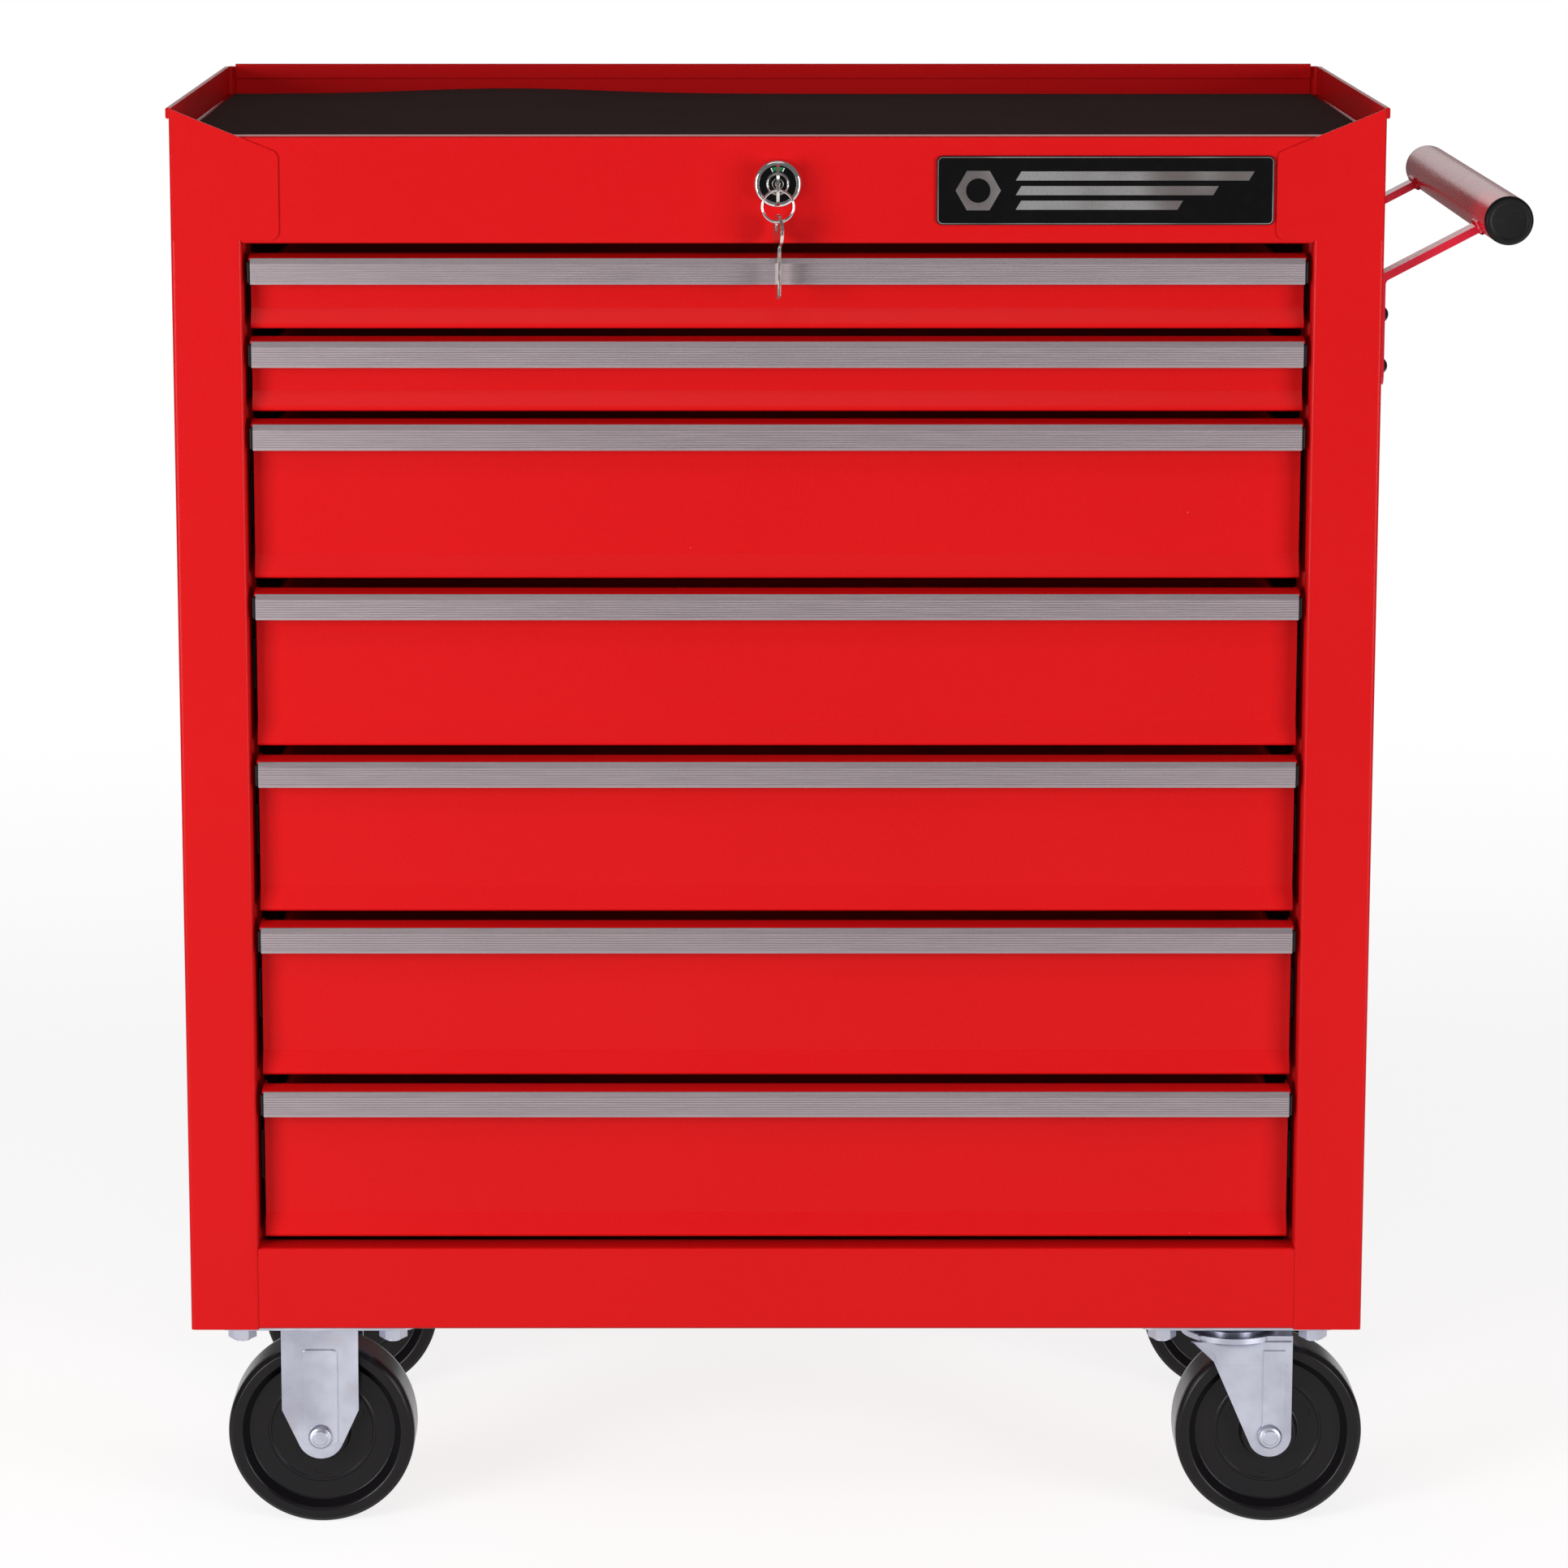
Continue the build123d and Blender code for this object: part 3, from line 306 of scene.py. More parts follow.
def powder_coat():
    """Glossy red powder coat with orange peel, faint clouding and a few dust specks."""
    finish = Finish("red_powder_coat", Specular_IOR_Level=0.12)
    cloud = finish.noise(160 * MM, 3.0)
    grain = finish.noise(0.9 * MM)
    dust = finish.specks(26 * MM, 0.42 * MM, 0.5)
    orange_peel = finish.noise(1.9 * MM, 2.5)
    red = finish.blend(cloud, rgb(0.66, 0.0065, 0.0080), rgb(0.72, 0.0080, 0.0095))
    red = finish.blend(grain.ramp(0.35, 0.75) * 0.35, red, rgb(0.76, 0.010, 0.012))
    red = finish.blend(dust * 0.55, red, rgb(0.75, 0.25, 0.24))
    rough = 0.22 + 0.10 * finish.noise(6 * MM, 4.0) + 0.06 * cloud
    normal = finish.bump(orange_peel, 0.06 * MM, finish.eased(0.5 * MM))
    return finish.feed(Base_Color=red, Roughness=rough, Normal=normal)


def rolled_paint():
    """The same red paint on round tube, thicker, with drawn-out ripples; the extra blue in its colour is
    painted sheen, the mauve tint of its reflections.
    """
    finish = Finish("red_tube_paint", Coat_Roughness=0.12, Coat_Weight=0.3)
    cloud = finish.noise(50 * MM, 3.0)
    ripple = finish.noise(1.7 * MM, 2.0, (1, 7, 1))
    # Painted sheen: the blue in this red stands in for the mauve tint of the tube's reflections.
    red = finish.blend(cloud, rgb(0.66, 0.008, 0.034), rgb(0.78, 0.011, 0.045))
    rough = 0.20 + 0.12 * finish.noise(4 * MM, 3.0)
    return finish.feed(Base_Color=red, Roughness=rough, Normal=finish.bump(ripple, 0.13 * MM))


def extruded_aluminium():
    """Satin anodised aluminium, drawn along X, with fine flecks and painted shade along its sharp edges
    and in its grooves.
    """
    finish = Finish("extruded_aluminium", Metallic=1.0, Anisotropic=0.35)
    drawn = finish.noise(0.55 * MM, 3.0, (60, 1, 1))
    fleck = finish.noise(0.34 * MM, 2.0, (2.2, 1, 1))
    tint = finish.noise(70 * MM, 2.0, (3, 1, 1))
    grey = finish.blend(tint, rgb(0.300, 0.250, 0.266), rgb(0.370, 0.312, 0.330))
    grey = finish.blend(drawn.ramp(0.3, 0.7) * 0.4, grey, rgb(0.44, 0.38, 0.40))
    grey = finish.blend(fleck.ramp(0.62, 0.78) * 0.55, grey, rgb(0.66, 0.60, 0.62))
    # Painted shade: the colour goes dark along every sharp edge, standing in for the shade that falls in
    # the grooves.
    grey = finish.blend(finish.edges(0.22 * MM) * 0.5, grey, rgb(0.10, 0.08, 0.085))
    rough = 0.34 + 0.14 * fleck + 0.08 * drawn
    normal = finish.bump(fleck, 0.02 * MM, finish.bump(drawn, 0.03 * MM))
    return finish.feed(Base_Color=grey, Roughness=rough, Normal=normal)


def black_plastic():
    """Black moulded plastic: a fine even grain and faint scuffs."""
    finish = Finish("black_plastic", Specular_IOR_Level=0.2)
    grain = finish.noise(0.5 * MM)
    scuff = finish.noise(9 * MM, 5.0, (1, 1, 0.5)).ramp(0.52, 0.80)
    black = finish.blend(scuff * 0.45, rgb(0.0042, 0.0042, 0.0048), rgb(0.0106, 0.0106, 0.0116))
    rough = 0.38 + 0.12 * grain + 0.14 * scuff
    normal = finish.bump(grain, 0.022 * MM, finish.eased(0.35 * MM))
    return finish.feed(Base_Color=black, Roughness=rough, Normal=normal)


def wheel_plastic():
    """Near-black tyre and web, slightly brown, with soft clouds and a few specks of dust."""
    finish = Finish("wheel_plastic", Specular_IOR_Level=0.2)
    grain = finish.noise(0.8 * MM, 3.0)
    cloud = finish.noise(25 * MM, 3.0)
    dust = finish.specks(11 * MM, 0.3 * MM, 0.35)
    black = finish.blend(cloud, rgb(0.0060, 0.0054, 0.0068), rgb(0.0095, 0.0080, 0.0090))
    black = finish.blend(dust * 0.5, black, rgb(0.12, 0.11, 0.12))
    rough = 0.15 + 0.10 * grain + 0.06 * cloud
    normal = finish.bump(grain, 0.025 * MM, finish.bump(cloud, 0.10 * MM))
    return finish.feed(Base_Color=black, Roughness=rough, Normal=normal)


def zinc_plate():
    """Bright zinc plate: bluish, with straw-coloured clouds and pits."""
    finish = Finish("zinc_plate", Metallic=1.0)
    cloud = finish.noise(22 * MM, 4.0).ramp(0.25, 0.75)
    straw = finish.noise(12 * MM, 3.0, (1, 1, 1.8)).ramp(0.56, 0.74)
    pits = finish.noise(1.1 * MM, 3.0).ramp(0.60, 0.72)
    zinc = finish.blend(cloud, rgb(0.40, 0.41, 0.49), rgb(0.56, 0.58, 0.67))
    zinc = finish.blend(straw * 0.30, zinc, rgb(0.50, 0.44, 0.40))
    zinc = finish.blend(pits * 0.25, zinc, rgb(0.40, 0.38, 0.38))
    rough = 0.26 + 0.16 * cloud + 0.10 * pits
    normal = finish.bump(pits, 0.02 * MM, finish.bump(cloud, 0.06 * MM, finish.eased(0.4 * MM)))
    return finish.feed(Base_Color=zinc, Roughness=rough, Normal=normal)


def bright_plate(name, colour, gloss):
    """Chrome, nickel or dark steel plate with hairline scratches."""
    finish = Finish(name, Metallic=1.0)
    hair = finish.noise(0.25 * MM, 3.0, (1, 1, 22)).ramp(0.58, 0.72)
    cloud = finish.noise(3.5 * MM, 3.0)
    darker = tuple(0.78 * c for c in colour)
    plate = finish.blend(cloud * 0.6, rgb(*colour), rgb(*darker))
    rough = gloss + 0.10 * hair + 0.05 * cloud
    normal = finish.bump(hair, 0.006 * MM, finish.eased(0.18 * MM))
    return finish.feed(Base_Color=plate, Roughness=rough, Normal=normal)


def foam_rubber():
    """Brown-black foam rubber with fine ribs from front to back."""
    finish = Finish("foam_rubber", Specular_IOR_Level=0.0)
    rib = (finish.along("X") * (2 * pi / (1.6 * MM))).sine() * 0.5 + 0.5
    grain = finish.noise(0.7 * MM, 3.0)
    cloud = finish.noise(80 * MM, 4.0)
    lint = finish.specks(32 * MM, 0.45 * MM, 0.3)
    brown = finish.blend(cloud, rgb(0.064, 0.039, 0.038), rgb(0.081, 0.051, 0.048))
    brown = finish.blend(grain.ramp(0.4, 0.8) * 0.4, brown, rgb(0.102, 0.070, 0.067))
    brown = finish.blend(lint * 0.6, brown, rgb(0.25, 0.22, 0.21))
    normal = finish.bump(rib, 0.05 * MM, finish.bump(grain, 0.06 * MM))
    return finish.feed(Base_Color=brown, Roughness=0.74 + 0.14 * grain, Normal=normal)


def lacquer(name, colour, gloss=0.12):
    """Gloss lacquer or print: nearly flat, with a slight ripple."""
    finish = Finish(name, Specular_IOR_Level=0.15)
    ripple = finish.noise(5 * MM)
    lighter = tuple(1.25 * c + 0.002 for c in colour)
    base = finish.blend(ripple, rgb(*colour), rgb(*lighter))
    rough = gloss + 0.07 * finish.noise(0.6 * MM)
    return finish.feed(Base_Color=base, Roughness=rough, Normal=finish.bump(ripple, 0.015 * MM))


def printed_silver():
    """Metallic silver print in light and dark sweeps."""
    finish = Finish("printed_silver", Metallic=1.0)
    flake = finish.noise(0.3 * MM)
    sweep = finish.noise(50 * MM).ramp(0.35, 0.65)
    silver = finish.blend(sweep, rgb(0.42, 0.36, 0.36), rgb(0.86, 0.85, 0.85))
    rough = 0.22 + 0.15 * flake
    return finish.feed(Base_Color=silver, Roughness=rough, Normal=finish.bump(flake, 0.01 * MM))


# Every finish by the name its pieces use
FINISHES = {
    "red_paint": powder_coat(),
    "aluminium": extruded_aluminium(),
    "black_plastic": black_plastic(),
    "zinc_steel": zinc_plate(),
    "chrome": bright_plate("chrome", (0.80, 0.80, 0.80), 0.05),
    "nickel": bright_plate("nickel", (0.74, 0.68, 0.64), 0.13),
    "mat_rubber": foam_rubber(),
    "badge": lacquer("badge_black", (0.0035, 0.0035, 0.004)),
    "tube_paint": rolled_paint(),
    "dark_steel": bright_plate("dark_steel", (0.045, 0.035, 0.035), 0.34),
    "wheel_plastic": wheel_plastic(),
    "silver_print": printed_silver(),
    "green_print": lacquer("green_print", (0.010, 0.16, 0.045), 0.3),
    "white_print": lacquer("white_print", (0.75, 0.75, 0.74), 0.35),
}
# The handle screws, slide channels and runners are drawn in near-black steel instead of the zinc that
# their slots name.
CAD_FINISH = {
    "handle_tube": "tube_paint",
    "handle_brackets": "tube_paint",
    "handle_screws": "dark_steel",
    "slide_channels": "dark_steel",
}
CAD_FINISH |= {f"drawer_{i}_runners": "dark_steel" for i in range(1, 8)}


def coat(made, finish_name):
    """Gives a piece one finish."""
    made.data.materials.clear()
    made.data.materials.append(FINISHES[finish_name].material)


def coat_cad_nodes():
    """Each CAD node takes the finish that its own slot names, or the one that CAD_FINISH gives it."""
    for sub in frame["record"]["subparts"]:
        name = sub["node"]
        coat(frame["nodes"][name], CAD_FINISH.get(name, sub["material_slot"]))


def piece(name, points, faces, body, slot, finish=None, sharp=35):
    """A new mesh that rides on a body, with smooth shading up to an angle in degrees."""
    mesh = bpy.data.meshes.new(name)
    mesh.from_pydata([tuple(p) for p in points], [], faces)
    form = bmesh.new()
    form.from_mesh(mesh)
    bmesh.ops.remove_doubles(form, verts=form.verts, dist=1e-7)
    bmesh.ops.recalc_face_normals(form, faces=form.faces)
    form.to_mesh(mesh)
    form.free()
    mesh.shade_smooth()
    mesh.set_sharp_from_angle(angle=radians(sharp))
    made = bpy.data.objects.new(name, mesh)
    bpy.context.scene.collection.objects.link(made)
    coat(made, finish or slot)
    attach(made, body)
    return made


def loft(name, rows, body, slot, finish=None, sharp=35, ends="capped"):
    """A skin over rows of points, each row a loop of as many; its ends are capped, open or joined."""
    count = len(rows[0])
    faces = []
    for row in range(len(rows) - (ends != "joined")):
        here = row * count
        ahead = (row + 1) % len(rows) * count
        for i in range(count):
            j = (i + 1) % count
            faces.append((here + i, here + j, ahead + j, ahead + i))
    points = [p for row in rows for p in row]
    if ends == "capped":
        faces.append(tuple(range(count)))
        faces.append(tuple(range(len(points) - count, len(points))))
    return piece(name, points, faces, body, slot, finish, sharp)


def rounded(path, radii, steps=5):
    """A path of 2-D points with its inner corners rounded by arcs."""
    points = [Vector(path[0])]
    for before, corner, after, radius in zip(path, path[1:], path[2:], radii):
        corner = Vector(corner)
        back = (Vector(before) - corner).normalized()
        on = (Vector(after) - corner).normalized()
        half = acos(max(-1.0, min(1.0, back.dot(on)))) / 2
        if radius <= 0 or half > radians(88):
            points.append(corner)
            continue
        reach = radius / tan(half)
        centre = corner + (back + on).normalized() * (radius / sin(half))
        start = corner + back * reach - centre
        turn = start.angle_signed(corner + on * reach - centre)
        for i in range(steps + 1):
            points.append(centre + Matrix.Rotation(-turn * i / steps, 2) @ start)
    points.append(Vector(path[-1]))
    return points


def profile_in_mm(path, radii):
    """A rounded path of (radius, along) points, given in millimetres."""
    return rounded([(r * MM, a * MM) for r, a in path], [r * MM for r in radii])


def turned(name, profile, centre, axis, body, slot, finish=None, segments=WHEEL_SEGMENTS, sharp=35):
    """A solid of revolution from (radius, along) points; along runs on the axis from the centre."""
    along = Vector(axis).normalized()
    first = along.orthogonal().normalized()
    second = along.cross(first)
    angles = [2 * pi * i / segments for i in range(segments)]
    spokes = [first * cos(a) + second * sin(a) for a in angles]
    rows = [[centre + spoke * radius + along * shift for spoke in spokes] for radius, shift in profile]
    return loft(name, rows, body, slot, finish, sharp, "open")


def around(centre, radius, angle):
    """The (x, z) point round a centre at an angle in degrees, from +X towards +Z."""
    return (centre[0] + radius * cos(radians(angle)), centre[1] + radius * sin(radians(angle)))


def arc(centre, radius, start=0.0, end=360.0, step=4.0):
    """Points round a centre from one angle to another; a whole turn leaves out the last."""
    count = max(6, int(abs(end - start) / step))
    last = count if end - start >= 360 else count + 1
    return [around(centre, radius, start + (end - start) * i / count) for i in range(last)]


def at_depths(outline, y, thickness):
    """An (x, z) outline at the front and at the back of a plate that faces -Y."""
    return [[(x, depth, z) for x, z in outline] for depth in (y, y + thickness)]


def slab(name, outline, y, thickness, body, slot, finish=None):
    """A flat plate that faces -Y, with its front face at y."""
    return loft(name, at_depths(outline, y, thickness), body, slot, finish)


def holed_plate(name, outer, inner, y, thickness, body, slot, finish=None):
    """A flat plate with a hole, between two outlines of as many (x, z) points."""
    front, back = at_depths(outer, y, thickness)
    front_hole, back_hole = at_depths(inner, y, thickness)
    rows = [front, front_hole, back_hole, back]
    return loft(name, rows, body, slot, finish, ends="joined")


def arc_plate(name, centre, radii, angles, y, thickness, body, slot, finish=None):
    """Part of a flat ring that faces -Y, between two radii and two angles."""
    inner, outer = (arc(centre, radius, *angles) for radius in radii)
    rows = []
    for (x, z), (hole_x, hole_z) in zip(outer, inner):
        back = y + thickness
        rows.append([(x, y, z), (hole_x, y, hole_z), (hole_x, back, hole_z), (x, back, z)])
    return loft(name, rows, body, slot, finish)


def bead(name, path, radius, body, slot, finish, ripple=0.0, pitch=1.0, sides=12):
    """A round bead along a closed path of points, thicker and thinner by a ripple, as a weld is."""
    rows = []
    travelled = 0.0
    for i, here in enumerate(path):
        ahead = path[(i + 1) % len(path)]
        along = (ahead - path[i - 1]).normalized()
        first = along.orthogonal().normalized()
        second = along.cross(first)
        size = radius * (1 + ripple * sin(2 * pi * travelled / pitch))
        travelled += (ahead - here).length
        angles = [2 * pi * k / sides for k in range(sides)]
        rows.append([here + (first * cos(a) + second * sin(a)) * size for a in angles])
    return loft(name, rows, body, slot, finish, 60, "joined")


def mat_height(x, y, low, high):
    """How far the mat stands up at a point: a hump at its back edge and slight waves."""
    back = max(0.0, 1 - (high.y - y) / MAT_HUMP_REACH)
    hump = MAT_HUMP * back ** 2 * exp(-((x - MAT_HUMP_X) / MAT_HUMP_W) ** 2)
    waves = sin(x * 19 + 1.3) * sin(y * 14 + x * 5) + 0.6 * sin(x * 41 + y * 23)
    inside = min(high.y - y, y - low.y, x - low.x, high.x - x)
    flatter = max(0.0, min(1.0, inside / MAT_MARGIN))
    return hump + MAT_WAVE * (waves + 1.6) * (0.35 + 0.65 * flatter)


def top_mat():
    """The foam-rubber mat: one sheet that doesn't quite lie flat, with softened edges."""
    low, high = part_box("top_mat")
    half = (high - low) / 2
    middle = (high + low) / 2
    form = bmesh.new()
    bmesh.ops.create_grid(form, x_segments=MAT_COLUMNS, y_segments=MAT_ROWS, size=1.0)
    for v in form.verts:
        x = middle.x + v.co.x * half.x
        y = middle.y + v.co.y * half.y
        v.co = (x, y, low.z + mat_height(x, y, low, high))
    extruded = bmesh.ops.extrude_face_region(form, geom=form.faces[:])
    for v in extruded["geom"]:
        if isinstance(v, bmesh.types.BMVert):
            v.co.z += high.z - low.z
    points = [v.co.copy() for v in form.verts]
    form.verts.index_update()
    faces = [[v.index for v in f.verts] for f in form.faces]
    form.free()
    mat = piece("top_mat_sheet", points, faces, ROOT, "mat_rubber")
    soften = mat.modifiers.new("soft_edges", "BEVEL")
    soften.width = MAT_EDGE_R
    soften.segments = 3
    soften.angle_limit = radians(50)
    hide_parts("top_mat")


def tray_coves():
    """The rounded bend between the tray's floor and each side wall."""
    low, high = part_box("top_tray")
    angles = [radians(90 * i / COVE_STEPS) for i in range(COVE_STEPS + 1)]
    section = [(COVE_R * (1 - cos(a)), COVE_R * (1 - sin(a))) for a in angles] + [(0.0, 0.0)]
    walls = {
        "left": (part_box("side_panel_left")[0].x + COVE_WALL, 1),
        "right": (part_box("side_panel_right")[1].x - COVE_WALL, -1),
    }
    for side, (wall, sign) in walls.items():
        rows = []
        for y in (low.y + COVE_ENDS[0], high.y + COVE_ENDS[1]):
            rows.append([(wall + sign * x, y, high.z + z) for x, z in section])
        loft(f"tray_cove_{side}", rows, ROOT, "red_paint")


def lock_face():
    """The lock's black face with its green mark and white ticks."""
    low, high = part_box("lock_housing")
    middle = (low + high) / 2
    spot = (middle.x, middle.z)
    face = low.y + LOCK_FACE_DROP - LOCK_FACE_T
    hole, rim = (arc(spot, radius) for radius in LOCK_FACE_R)
    holed_plate("lock_face", rim, hole, face, LOCK_FACE_T, ROOT, "badge")
    proud = face - LOCK_PRINT_T
    arc_plate("lock_open_mark", spot, LOCK_MARK_R, LOCK_MARK_ANGLES, proud, LOCK_PRINT_T, ROOT, "badge",
              "green_print")
    for side, start in LOCK_TICK_ANGLES.items():
        angles = (start, start + LOCK_TICK_SPAN)
        arc_plate(f"lock_tick_{side}", spot, LOCK_TICK_R, angles, proud, LOCK_PRINT_T, ROOT, "badge",
                  "white_print")


def plug_face():
    """The plug's chrome rim, the two halves of its black face and the chrome arcs on them."""
    low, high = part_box("lock_housing")
    middle = (low + high) / 2
    spot = (middle.x, middle.z)
    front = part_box("lock_plug")[0].y
    (inner, outer), (near, far) = PLUG_RIM_R, PLUG_RIM_REACH
    section = rounded([(inner, far), (inner, near), (outer, near), (outer, far), (inner, far)],
                      [PLUG_RIM_EDGE, PLUG_RIM_EDGE, 0])
    turned("lock_plug_rim", section, Vector((middle.x, front, middle.z)), (0, 1, 0), "lock_plug", "chrome",
           segments=72)
    for side, start in PLUG_FACE_STARTS.items():
        arc_plate(f"lock_plug_face_{side}", spot, PLUG_FACE_R, (start, start + PLUG_FACE_SPAN),
                  front - PLUG_FACE_PROUD, PLUG_FACE_T, "lock_plug", "badge")
    for side, start in PLUG_ARC_STARTS.items():
        arc_plate(f"lock_plug_arc_{side}", spot, PLUG_ARC_R, (start, start + PLUG_ARC_SPAN),
                  front - PLUG_ARC_PROUD, PLUG_ARC_T, "lock_plug", "chrome")


def rounded_rectangle(low, high, inset, corner):
    """The (x, z) outline of a box's front, drawn in by an inset, with round corners."""
    left, right = low.x + inset + corner, high.x - inset - corner
    bottom, top = low.z + inset + corner, high.z - inset - corner
    outline = []
    for quarter, centre in enumerate([(right, top), (left, top), (left, bottom), (right, bottom)]):
        outline += arc(centre, corner, 90 * quarter, 90 * quarter + 90, 90 / 8)
    return outline


def hexagon(centre, corner, step):
    """The (x, z) outline of a hexagon with a corner towards +X, at every step degrees."""
    outline = []
    for i in range(round(360 / step)):
        reach = corner * cos(pi / 6) / cos(radians(step * i % 60 - 30))
        outline.append(around(centre, reach, step * i))
    return outline


def badge_details():
    """A silver rim on the badge, and a plain motif: a hexagon nut and three leaning bars."""
    low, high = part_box("badge_plate")
    outer = rounded_rectangle(low, high, BADGE_RIM_IN, BADGE_CORNER)
    inner = rounded_rectangle(low, high, BADGE_RIM_IN + BADGE_RIM_W, BADGE_CORNER - BADGE_RIM_W)
    holed_plate("badge_rim", outer, inner, low.y - BADGE_RIM_PROUD, BADGE_RIM_T, ROOT, "badge",
                "silver_print")
    front = low.y - BADGE_PRINT_PROUD
    middle = (low.z + high.z) / 2
    nut = (low.x + NUT_X, middle)
    holed_plate("badge_nut", hexagon(nut, NUT_CORNER, NUT_STEP), arc(nut, NUT_HOLE_R, step=NUT_STEP),
                front, BADGE_PRINT_T, ROOT, "badge", "silver_print")
    for i, length in enumerate(BAR_LENGTHS):
        bottom = middle + BAR_PITCH * (1 - i) - BAR_H / 2
        top = bottom + BAR_H
        left = low.x + BAR_X
        right = left + length
        bar = [(left, bottom), (right, bottom), (right + BAR_LEAN, top), (left + BAR_LEAN, top)]
        slab(f"badge_bar_{i + 1}", bar, front, BADGE_PRINT_T, ROOT, "badge", "silver_print")


def wheel_profile():
    """(radius, along) of a wheel from its bore round one side to the middle of its tread."""
    hub = [(4.1, 18.0), (14.5, 18.0), (15.3, 10.0)]
    web_ridge = [(27.0, 9.7), (27.4, 10.0), (28.6, 10.0), (29.0, 9.7)]
    rim = [(38.8, 9.3), (41.9, 14.6), (42.8, 15.6), (47.4, 16.0)]
    tread = [(49.7, 14.2), (50.0, 11.0), (50.0, 0.0)]
    radii = (1.2, 1.6, 0.2, 0.2, 0.2, 0.2, 1.2, 0.8, 1.8, 1.2, 1.6, 1.4)
    return profile_in_mm(hub + web_ridge + rim + tread, radii)


def wheel(node, body):
    """A moulded wheel with its hub, ridge, stepped rim and ejector marks, in place of the plain one."""
    low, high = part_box(node)
    centre = (low + high) / 2
    side = wheel_profile()
    profile = [(r, -a) for r, a in side] + [(r, a) for r, a in reversed(side)][1:]
    profile.append(profile[0])
    made = turned(f"{node}_moulding", profile, centre, (0, 1, 0), body, "wheel_plastic", sharp=50)
    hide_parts(node)
    for end, sign in ENDS:
        for i, angle in enumerate(WHEEL_MARKS):
            place = around((centre.x, centre.z), MARK_PLACE_R, angle)
            outline = arc(place, MARK_R, step=360 / MARK_STEPS)
            ring = [Vector((x, centre.y + sign * MARK_PLACE_Y, z)) for x, z in outline]
            bead(f"{node}_{end}_mark_{i + 1}", ring, MARK_BEAD_R, body, "wheel_plastic", None, sides=6)


def wheels():
    """All four wheels."""
    for kind in ("rigid", "swivel"):
        for end, _ in ENDS:
            wheel(f"{kind}_wheel_{end}", f"{kind}_wheel_{end}")


def shoulder_section(x):
    """A shoulder's section at a distance from the swivel's axis: down its face and up inside the leg."""
    crown_edge = max(0.0, CROWN_R ** 2 - x ** 2) ** 0.5 - SHOULDER_UNDER_RIM
    rim = max(LEG_Y + SHOULDER_LEAST, crown_edge)
    section = []
    for k in range(SHOULDER_ROWS + 1):
        down = k / SHOULDER_ROWS
        side = SHOULDER_LEFT + (LEG_LEFT - SHOULDER_LEFT) * (1 - (1 - down) ** 2.2)
        out = LEG_Y + (rim - LEG_Y) * (1 - down) ** 2.4 + SHOULDER_PROUD
        section.append((max(x, side), out, -SHOULDER_DROP * down ** 1.25))
    section.append((max(x, LEG_LEFT), LEG_Y - SHOULDER_DEPTH, -SHOULDER_DROP))
    section.append((x, LEG_Y - SHOULDER_DEPTH, 0.0))
    return section


def fork_shoulders():
    """The drawn shoulder between each swivel fork's crown and its two legs."""
    for end, _ in ENDS:
        low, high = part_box(f"swivel_fork_{end}")
        pivot = Vector((low.x + CROWN_R, (low.y + high.y) / 2, high.z - CROWN_SINK))
        width = high.x - LEG_INSET - pivot.x - SHOULDER_LEFT
        stations = [SHOULDER_LEFT + width * i / SHOULDER_COLUMNS for i in range(SHOULDER_COLUMNS + 1)]
        for side, sign in (("outer", -1), ("inner", 1)):
            rows = [[pivot + Vector((x, sign * y, z)) for x, y, z in shoulder_section(station)]
                    for station in stations]
            loft(f"swivel_fork_{end}_{side}_shoulder", rows, f"swivel_{end}", "zinc_steel", sharp=50)


def axle_heads():
    """The formed heads of the axles: a flat middle inside a sloping rim."""
    outline = [(0.0, 3.1), (3.7, 3.1), (4.2, 2.5), (5.4, 2.2), (6.6, 0.7), (6.6, -0.3), (0.0, -0.3)]
    profile = profile_in_mm(outline, (0.3, 0.3, 0.8, 0.5, 0.1))
    axles = [("rigid_axles", ROOT, -CASTER_Y, ""), ("rigid_axles", ROOT, CASTER_Y, "_rear")]
    axles += [(f"swivel_axle_{end}", f"swivel_{end}", 0.0, "") for end, _ in ENDS]
    for node, body, shift, suffix in axles:
        low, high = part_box(node)
        middle = (low + high) / 2
        for side, sign in ENDS:
            spot = middle + Vector((0, shift + sign * AXLE_HEAD_Y, 0))
            turned(f"{node}_{side}_head{suffix}", profile, spot, (0, sign, 0), body, "zinc_steel",
                   segments=48)


def handle_welds():
    """Weld beads where the arms meet the tube."""
    low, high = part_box("handle_tube")
    middle = (low + high) / 2
    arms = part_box("handle_brackets")[0]
    foot = Vector((arms.x + ARM_T / 2, middle.y, arms.z + ARM_FOOT_H))
    slope = (middle - foot).normalized()
    across = Vector((-slope.z, 0, slope.x))
    half_w = ARM_W / 2 + 0.2 * MM
    half_t = ARM_T / 2 + 0.3 * MM
    corners = [(-half_w, -half_t), (half_w, -half_t), (half_w, half_t), (-half_w, half_t)]
    for side, sign in ENDS:
        path = []
        for start, end in zip(corners, corners[1:] + corners[:1]):
            for i in range(WELD_STEPS):
                u, v = Vector(start).lerp(Vector(end), i / WELD_STEPS)
                out = (TUBE_R ** 2 - v ** 2) ** 0.5 + WELD_OUT
                path.append(middle + Vector((0, sign * ARM_Y + u, 0)) + across * v - slope * out)
        bead(f"handle_weld_{side}", path, WELD_R, ROOT, "red_paint", "tube_paint", WELD_RIPPLE, WELD_PITCH)


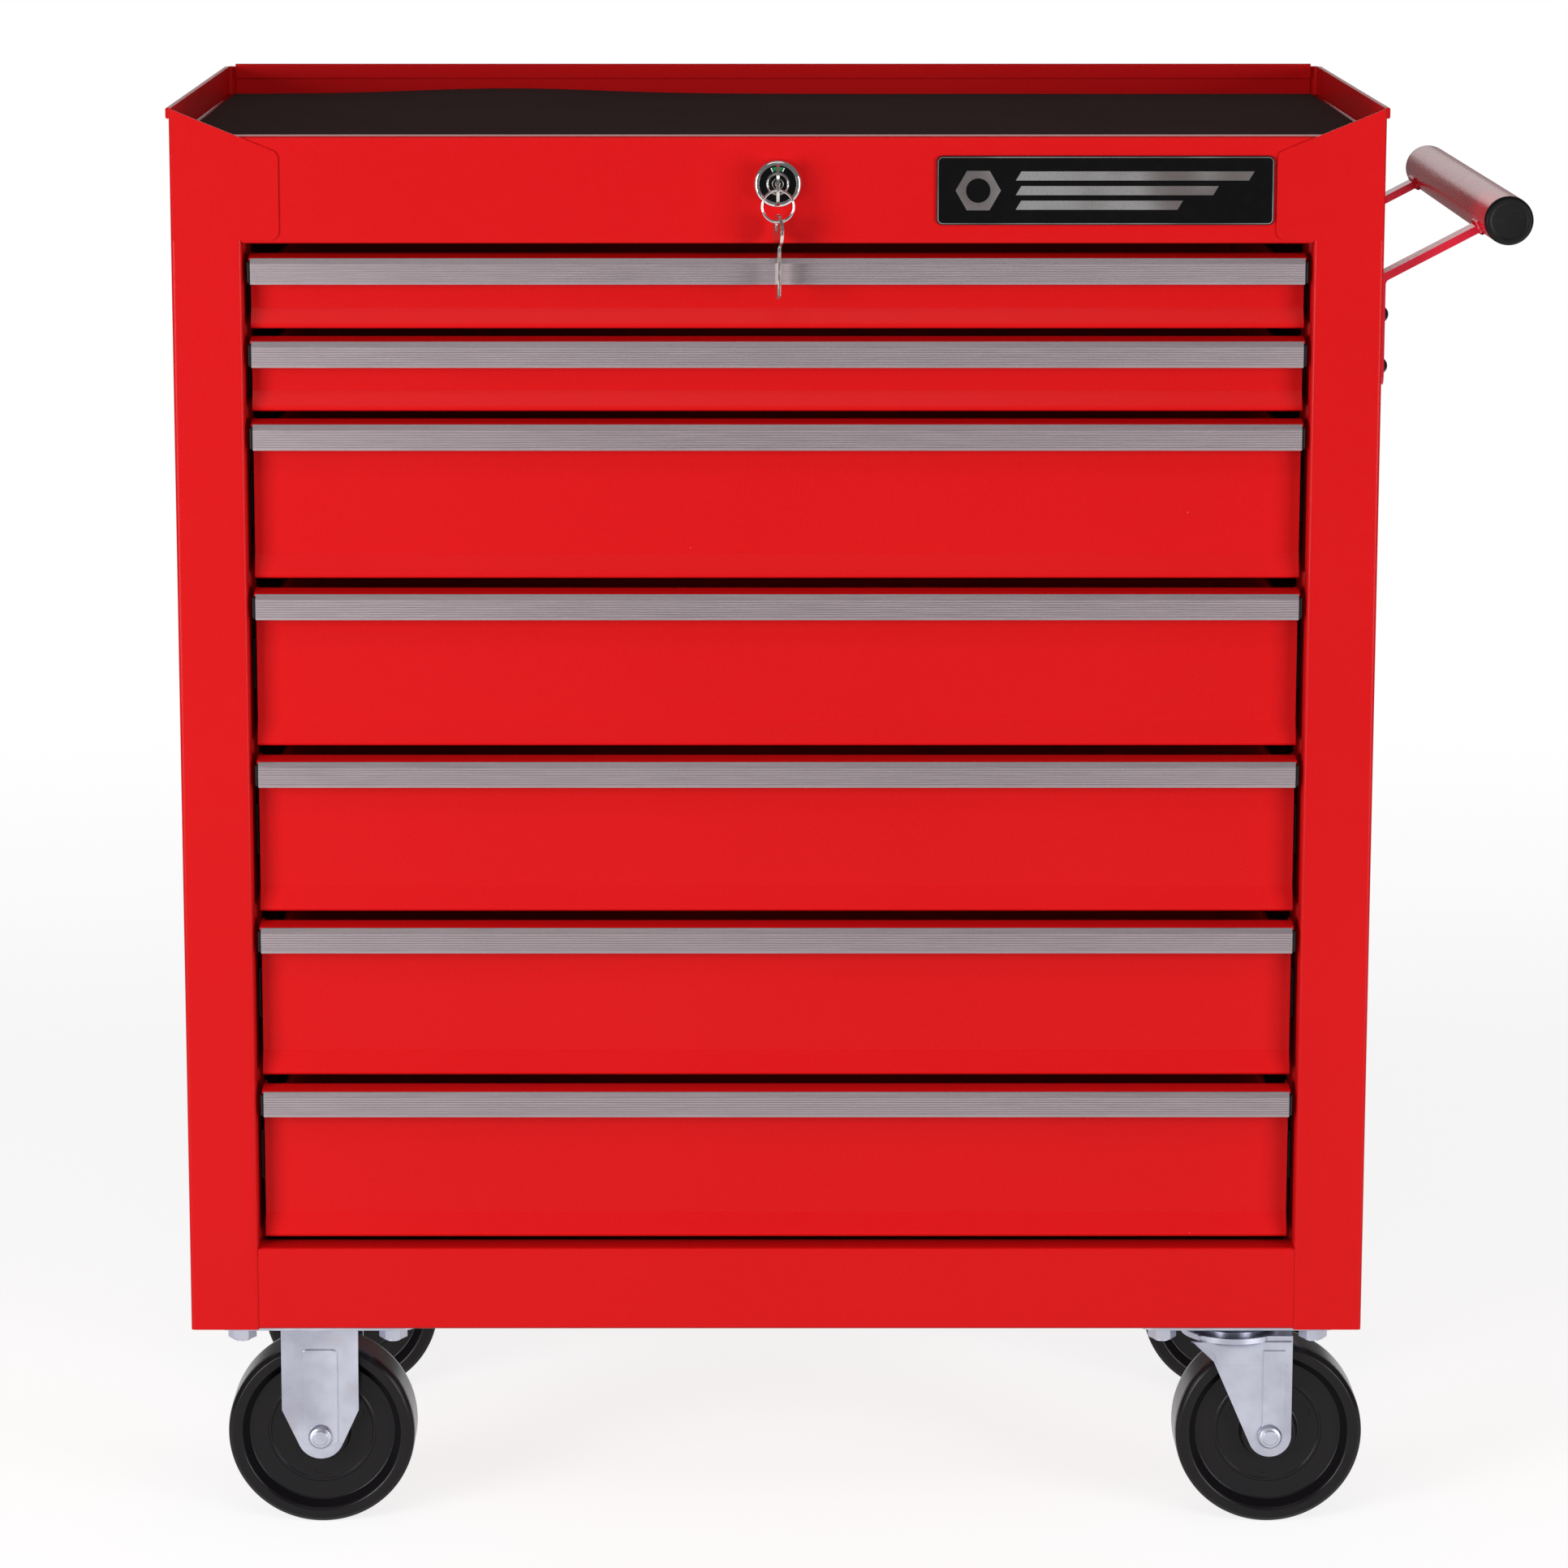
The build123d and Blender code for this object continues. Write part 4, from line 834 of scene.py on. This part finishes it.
def handle_caps():
    """Push-in caps with a raised rim, in place of the plain ones."""
    low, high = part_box("handle_tube")
    middle = (low + high) / 2
    face = [(0.0, 2.3), (9.0, 2.45), (9.8, 2.8), (11.2, 2.8), (12.45, 1.5), (12.45, 0.05)]
    stem = [(10.9, 0.0), (10.7, -13.0), (0.0, -13.0)]
    profile = profile_in_mm(face + stem, (1.5, 0.5, 0.8, 0.8, 0.2, 0, 0.5))
    for (side, sign), end in zip(ENDS, (low, high)):
        spot = Vector((middle.x, end.y, middle.z))
        cap = turned(f"handle_cap_{side}", profile, spot, (0, sign, 0), ROOT, "black_plastic", segments=96)
        if side == "front":
            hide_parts("handle_end_caps")


def soft_boxes():
    """Soft boxes to the left, to the right, above the front and behind."""
    for name, (place, width, height, power) in SOFTBOXES.items():
        data = bpy.data.lights.new(name, "AREA")
        data.shape = "RECTANGLE"
        data.size = width
        data.size_y = height
        data.energy = power
        light = bpy.data.objects.new(name, data)
        light.location = place
        light.rotation_euler = (Vector(LIGHTS_AIM) - Vector(place)).to_track_quat("-Z", "Y").to_euler()
        bpy.context.scene.collection.objects.link(light)


def white_room():
    """A room that looks white and gives a little light from all round."""
    world = bpy.data.worlds.new("studio")
    world.use_nodes = True
    bpy.context.scene.world = world
    tree = world.node_tree
    seen = tree.nodes.new("ShaderNodeLightPath")
    mix = tree.nodes.new("ShaderNodeMixShader")
    light = tree.nodes["Background"]
    white = tree.nodes.new("ShaderNodeBackground")
    for background, strength in ((light, ROOM_LIGHT), (white, BACKGROUND)):
        background.inputs["Strength"].default_value = strength
        background.inputs["Color"].default_value = rgb(1, 1, 1)
    tree.links.new(seen.outputs["Is Camera Ray"], mix.inputs[0])
    tree.links.new(light.outputs[0], mix.inputs[1])
    tree.links.new(white.outputs[0], mix.inputs[2])
    tree.links.new(mix.outputs[0], tree.nodes["World Output"].inputs["Surface"])


def pale_floor():
    """A round floor that glows faintly, fades out at its edge and throws no light on the chest."""
    mesh = bpy.data.meshes.new("floor")
    form = bmesh.new()
    bmesh.ops.create_circle(form, cap_ends=True, segments=96, radius=FLOOR_R)
    form.to_mesh(mesh)
    form.free()
    floor = bpy.data.objects.new("floor", mesh)
    floor.location.z = CAD_BOX[0].z - 0.05 * MM
    floor.visible_diffuse = False
    bpy.context.scene.collection.objects.link(floor)
    pale = Finish("pale_floor", Roughness=0.9, Specular_IOR_Level=0.1, Emission_Strength=FLOOR_GLOW,
                  Emission_Color=rgb(1, 1, 1))
    away = pale.node("ShaderNodeVectorMath", {"operation": "LENGTH"}, {0: pale.place}, "Value")
    grey = pale.blend(pale.noise(1.5), rgb(0.36, 0.36, 0.36), rgb(0.40, 0.40, 0.40))
    pale.feed(Base_Color=grey, Alpha=away.ramp(FLOOR_FADE[1], FLOOR_FADE[0]))
    mesh.materials.append(pale.material)


def camera():
    """The camera, level from side to side, with the framing set by a small shift."""
    data = bpy.data.cameras.new("camera")
    data.lens = CAMERA_LENS
    data.sensor_width = CAMERA_SENSOR
    data.shift_x, data.shift_y = CAMERA_SHIFT
    made = bpy.data.objects.new("camera", data)
    made.location = CAMERA_PLACE
    made.rotation_euler = (pi / 2 - CAMERA_PITCH, 0, -CAMERA_YAW)
    bpy.context.scene.collection.objects.link(made)
    bpy.context.scene.camera = made


bpy.context.scene.view_settings.view_transform = "Standard"
coat_cad_nodes()
top_mat()
tray_coves()
lock_face()
plug_face()
badge_details()
wheels()
fork_shoulders()
axle_heads()
handle_welds()
handle_caps()
soft_boxes()
white_room()
pale_floor()
camera()
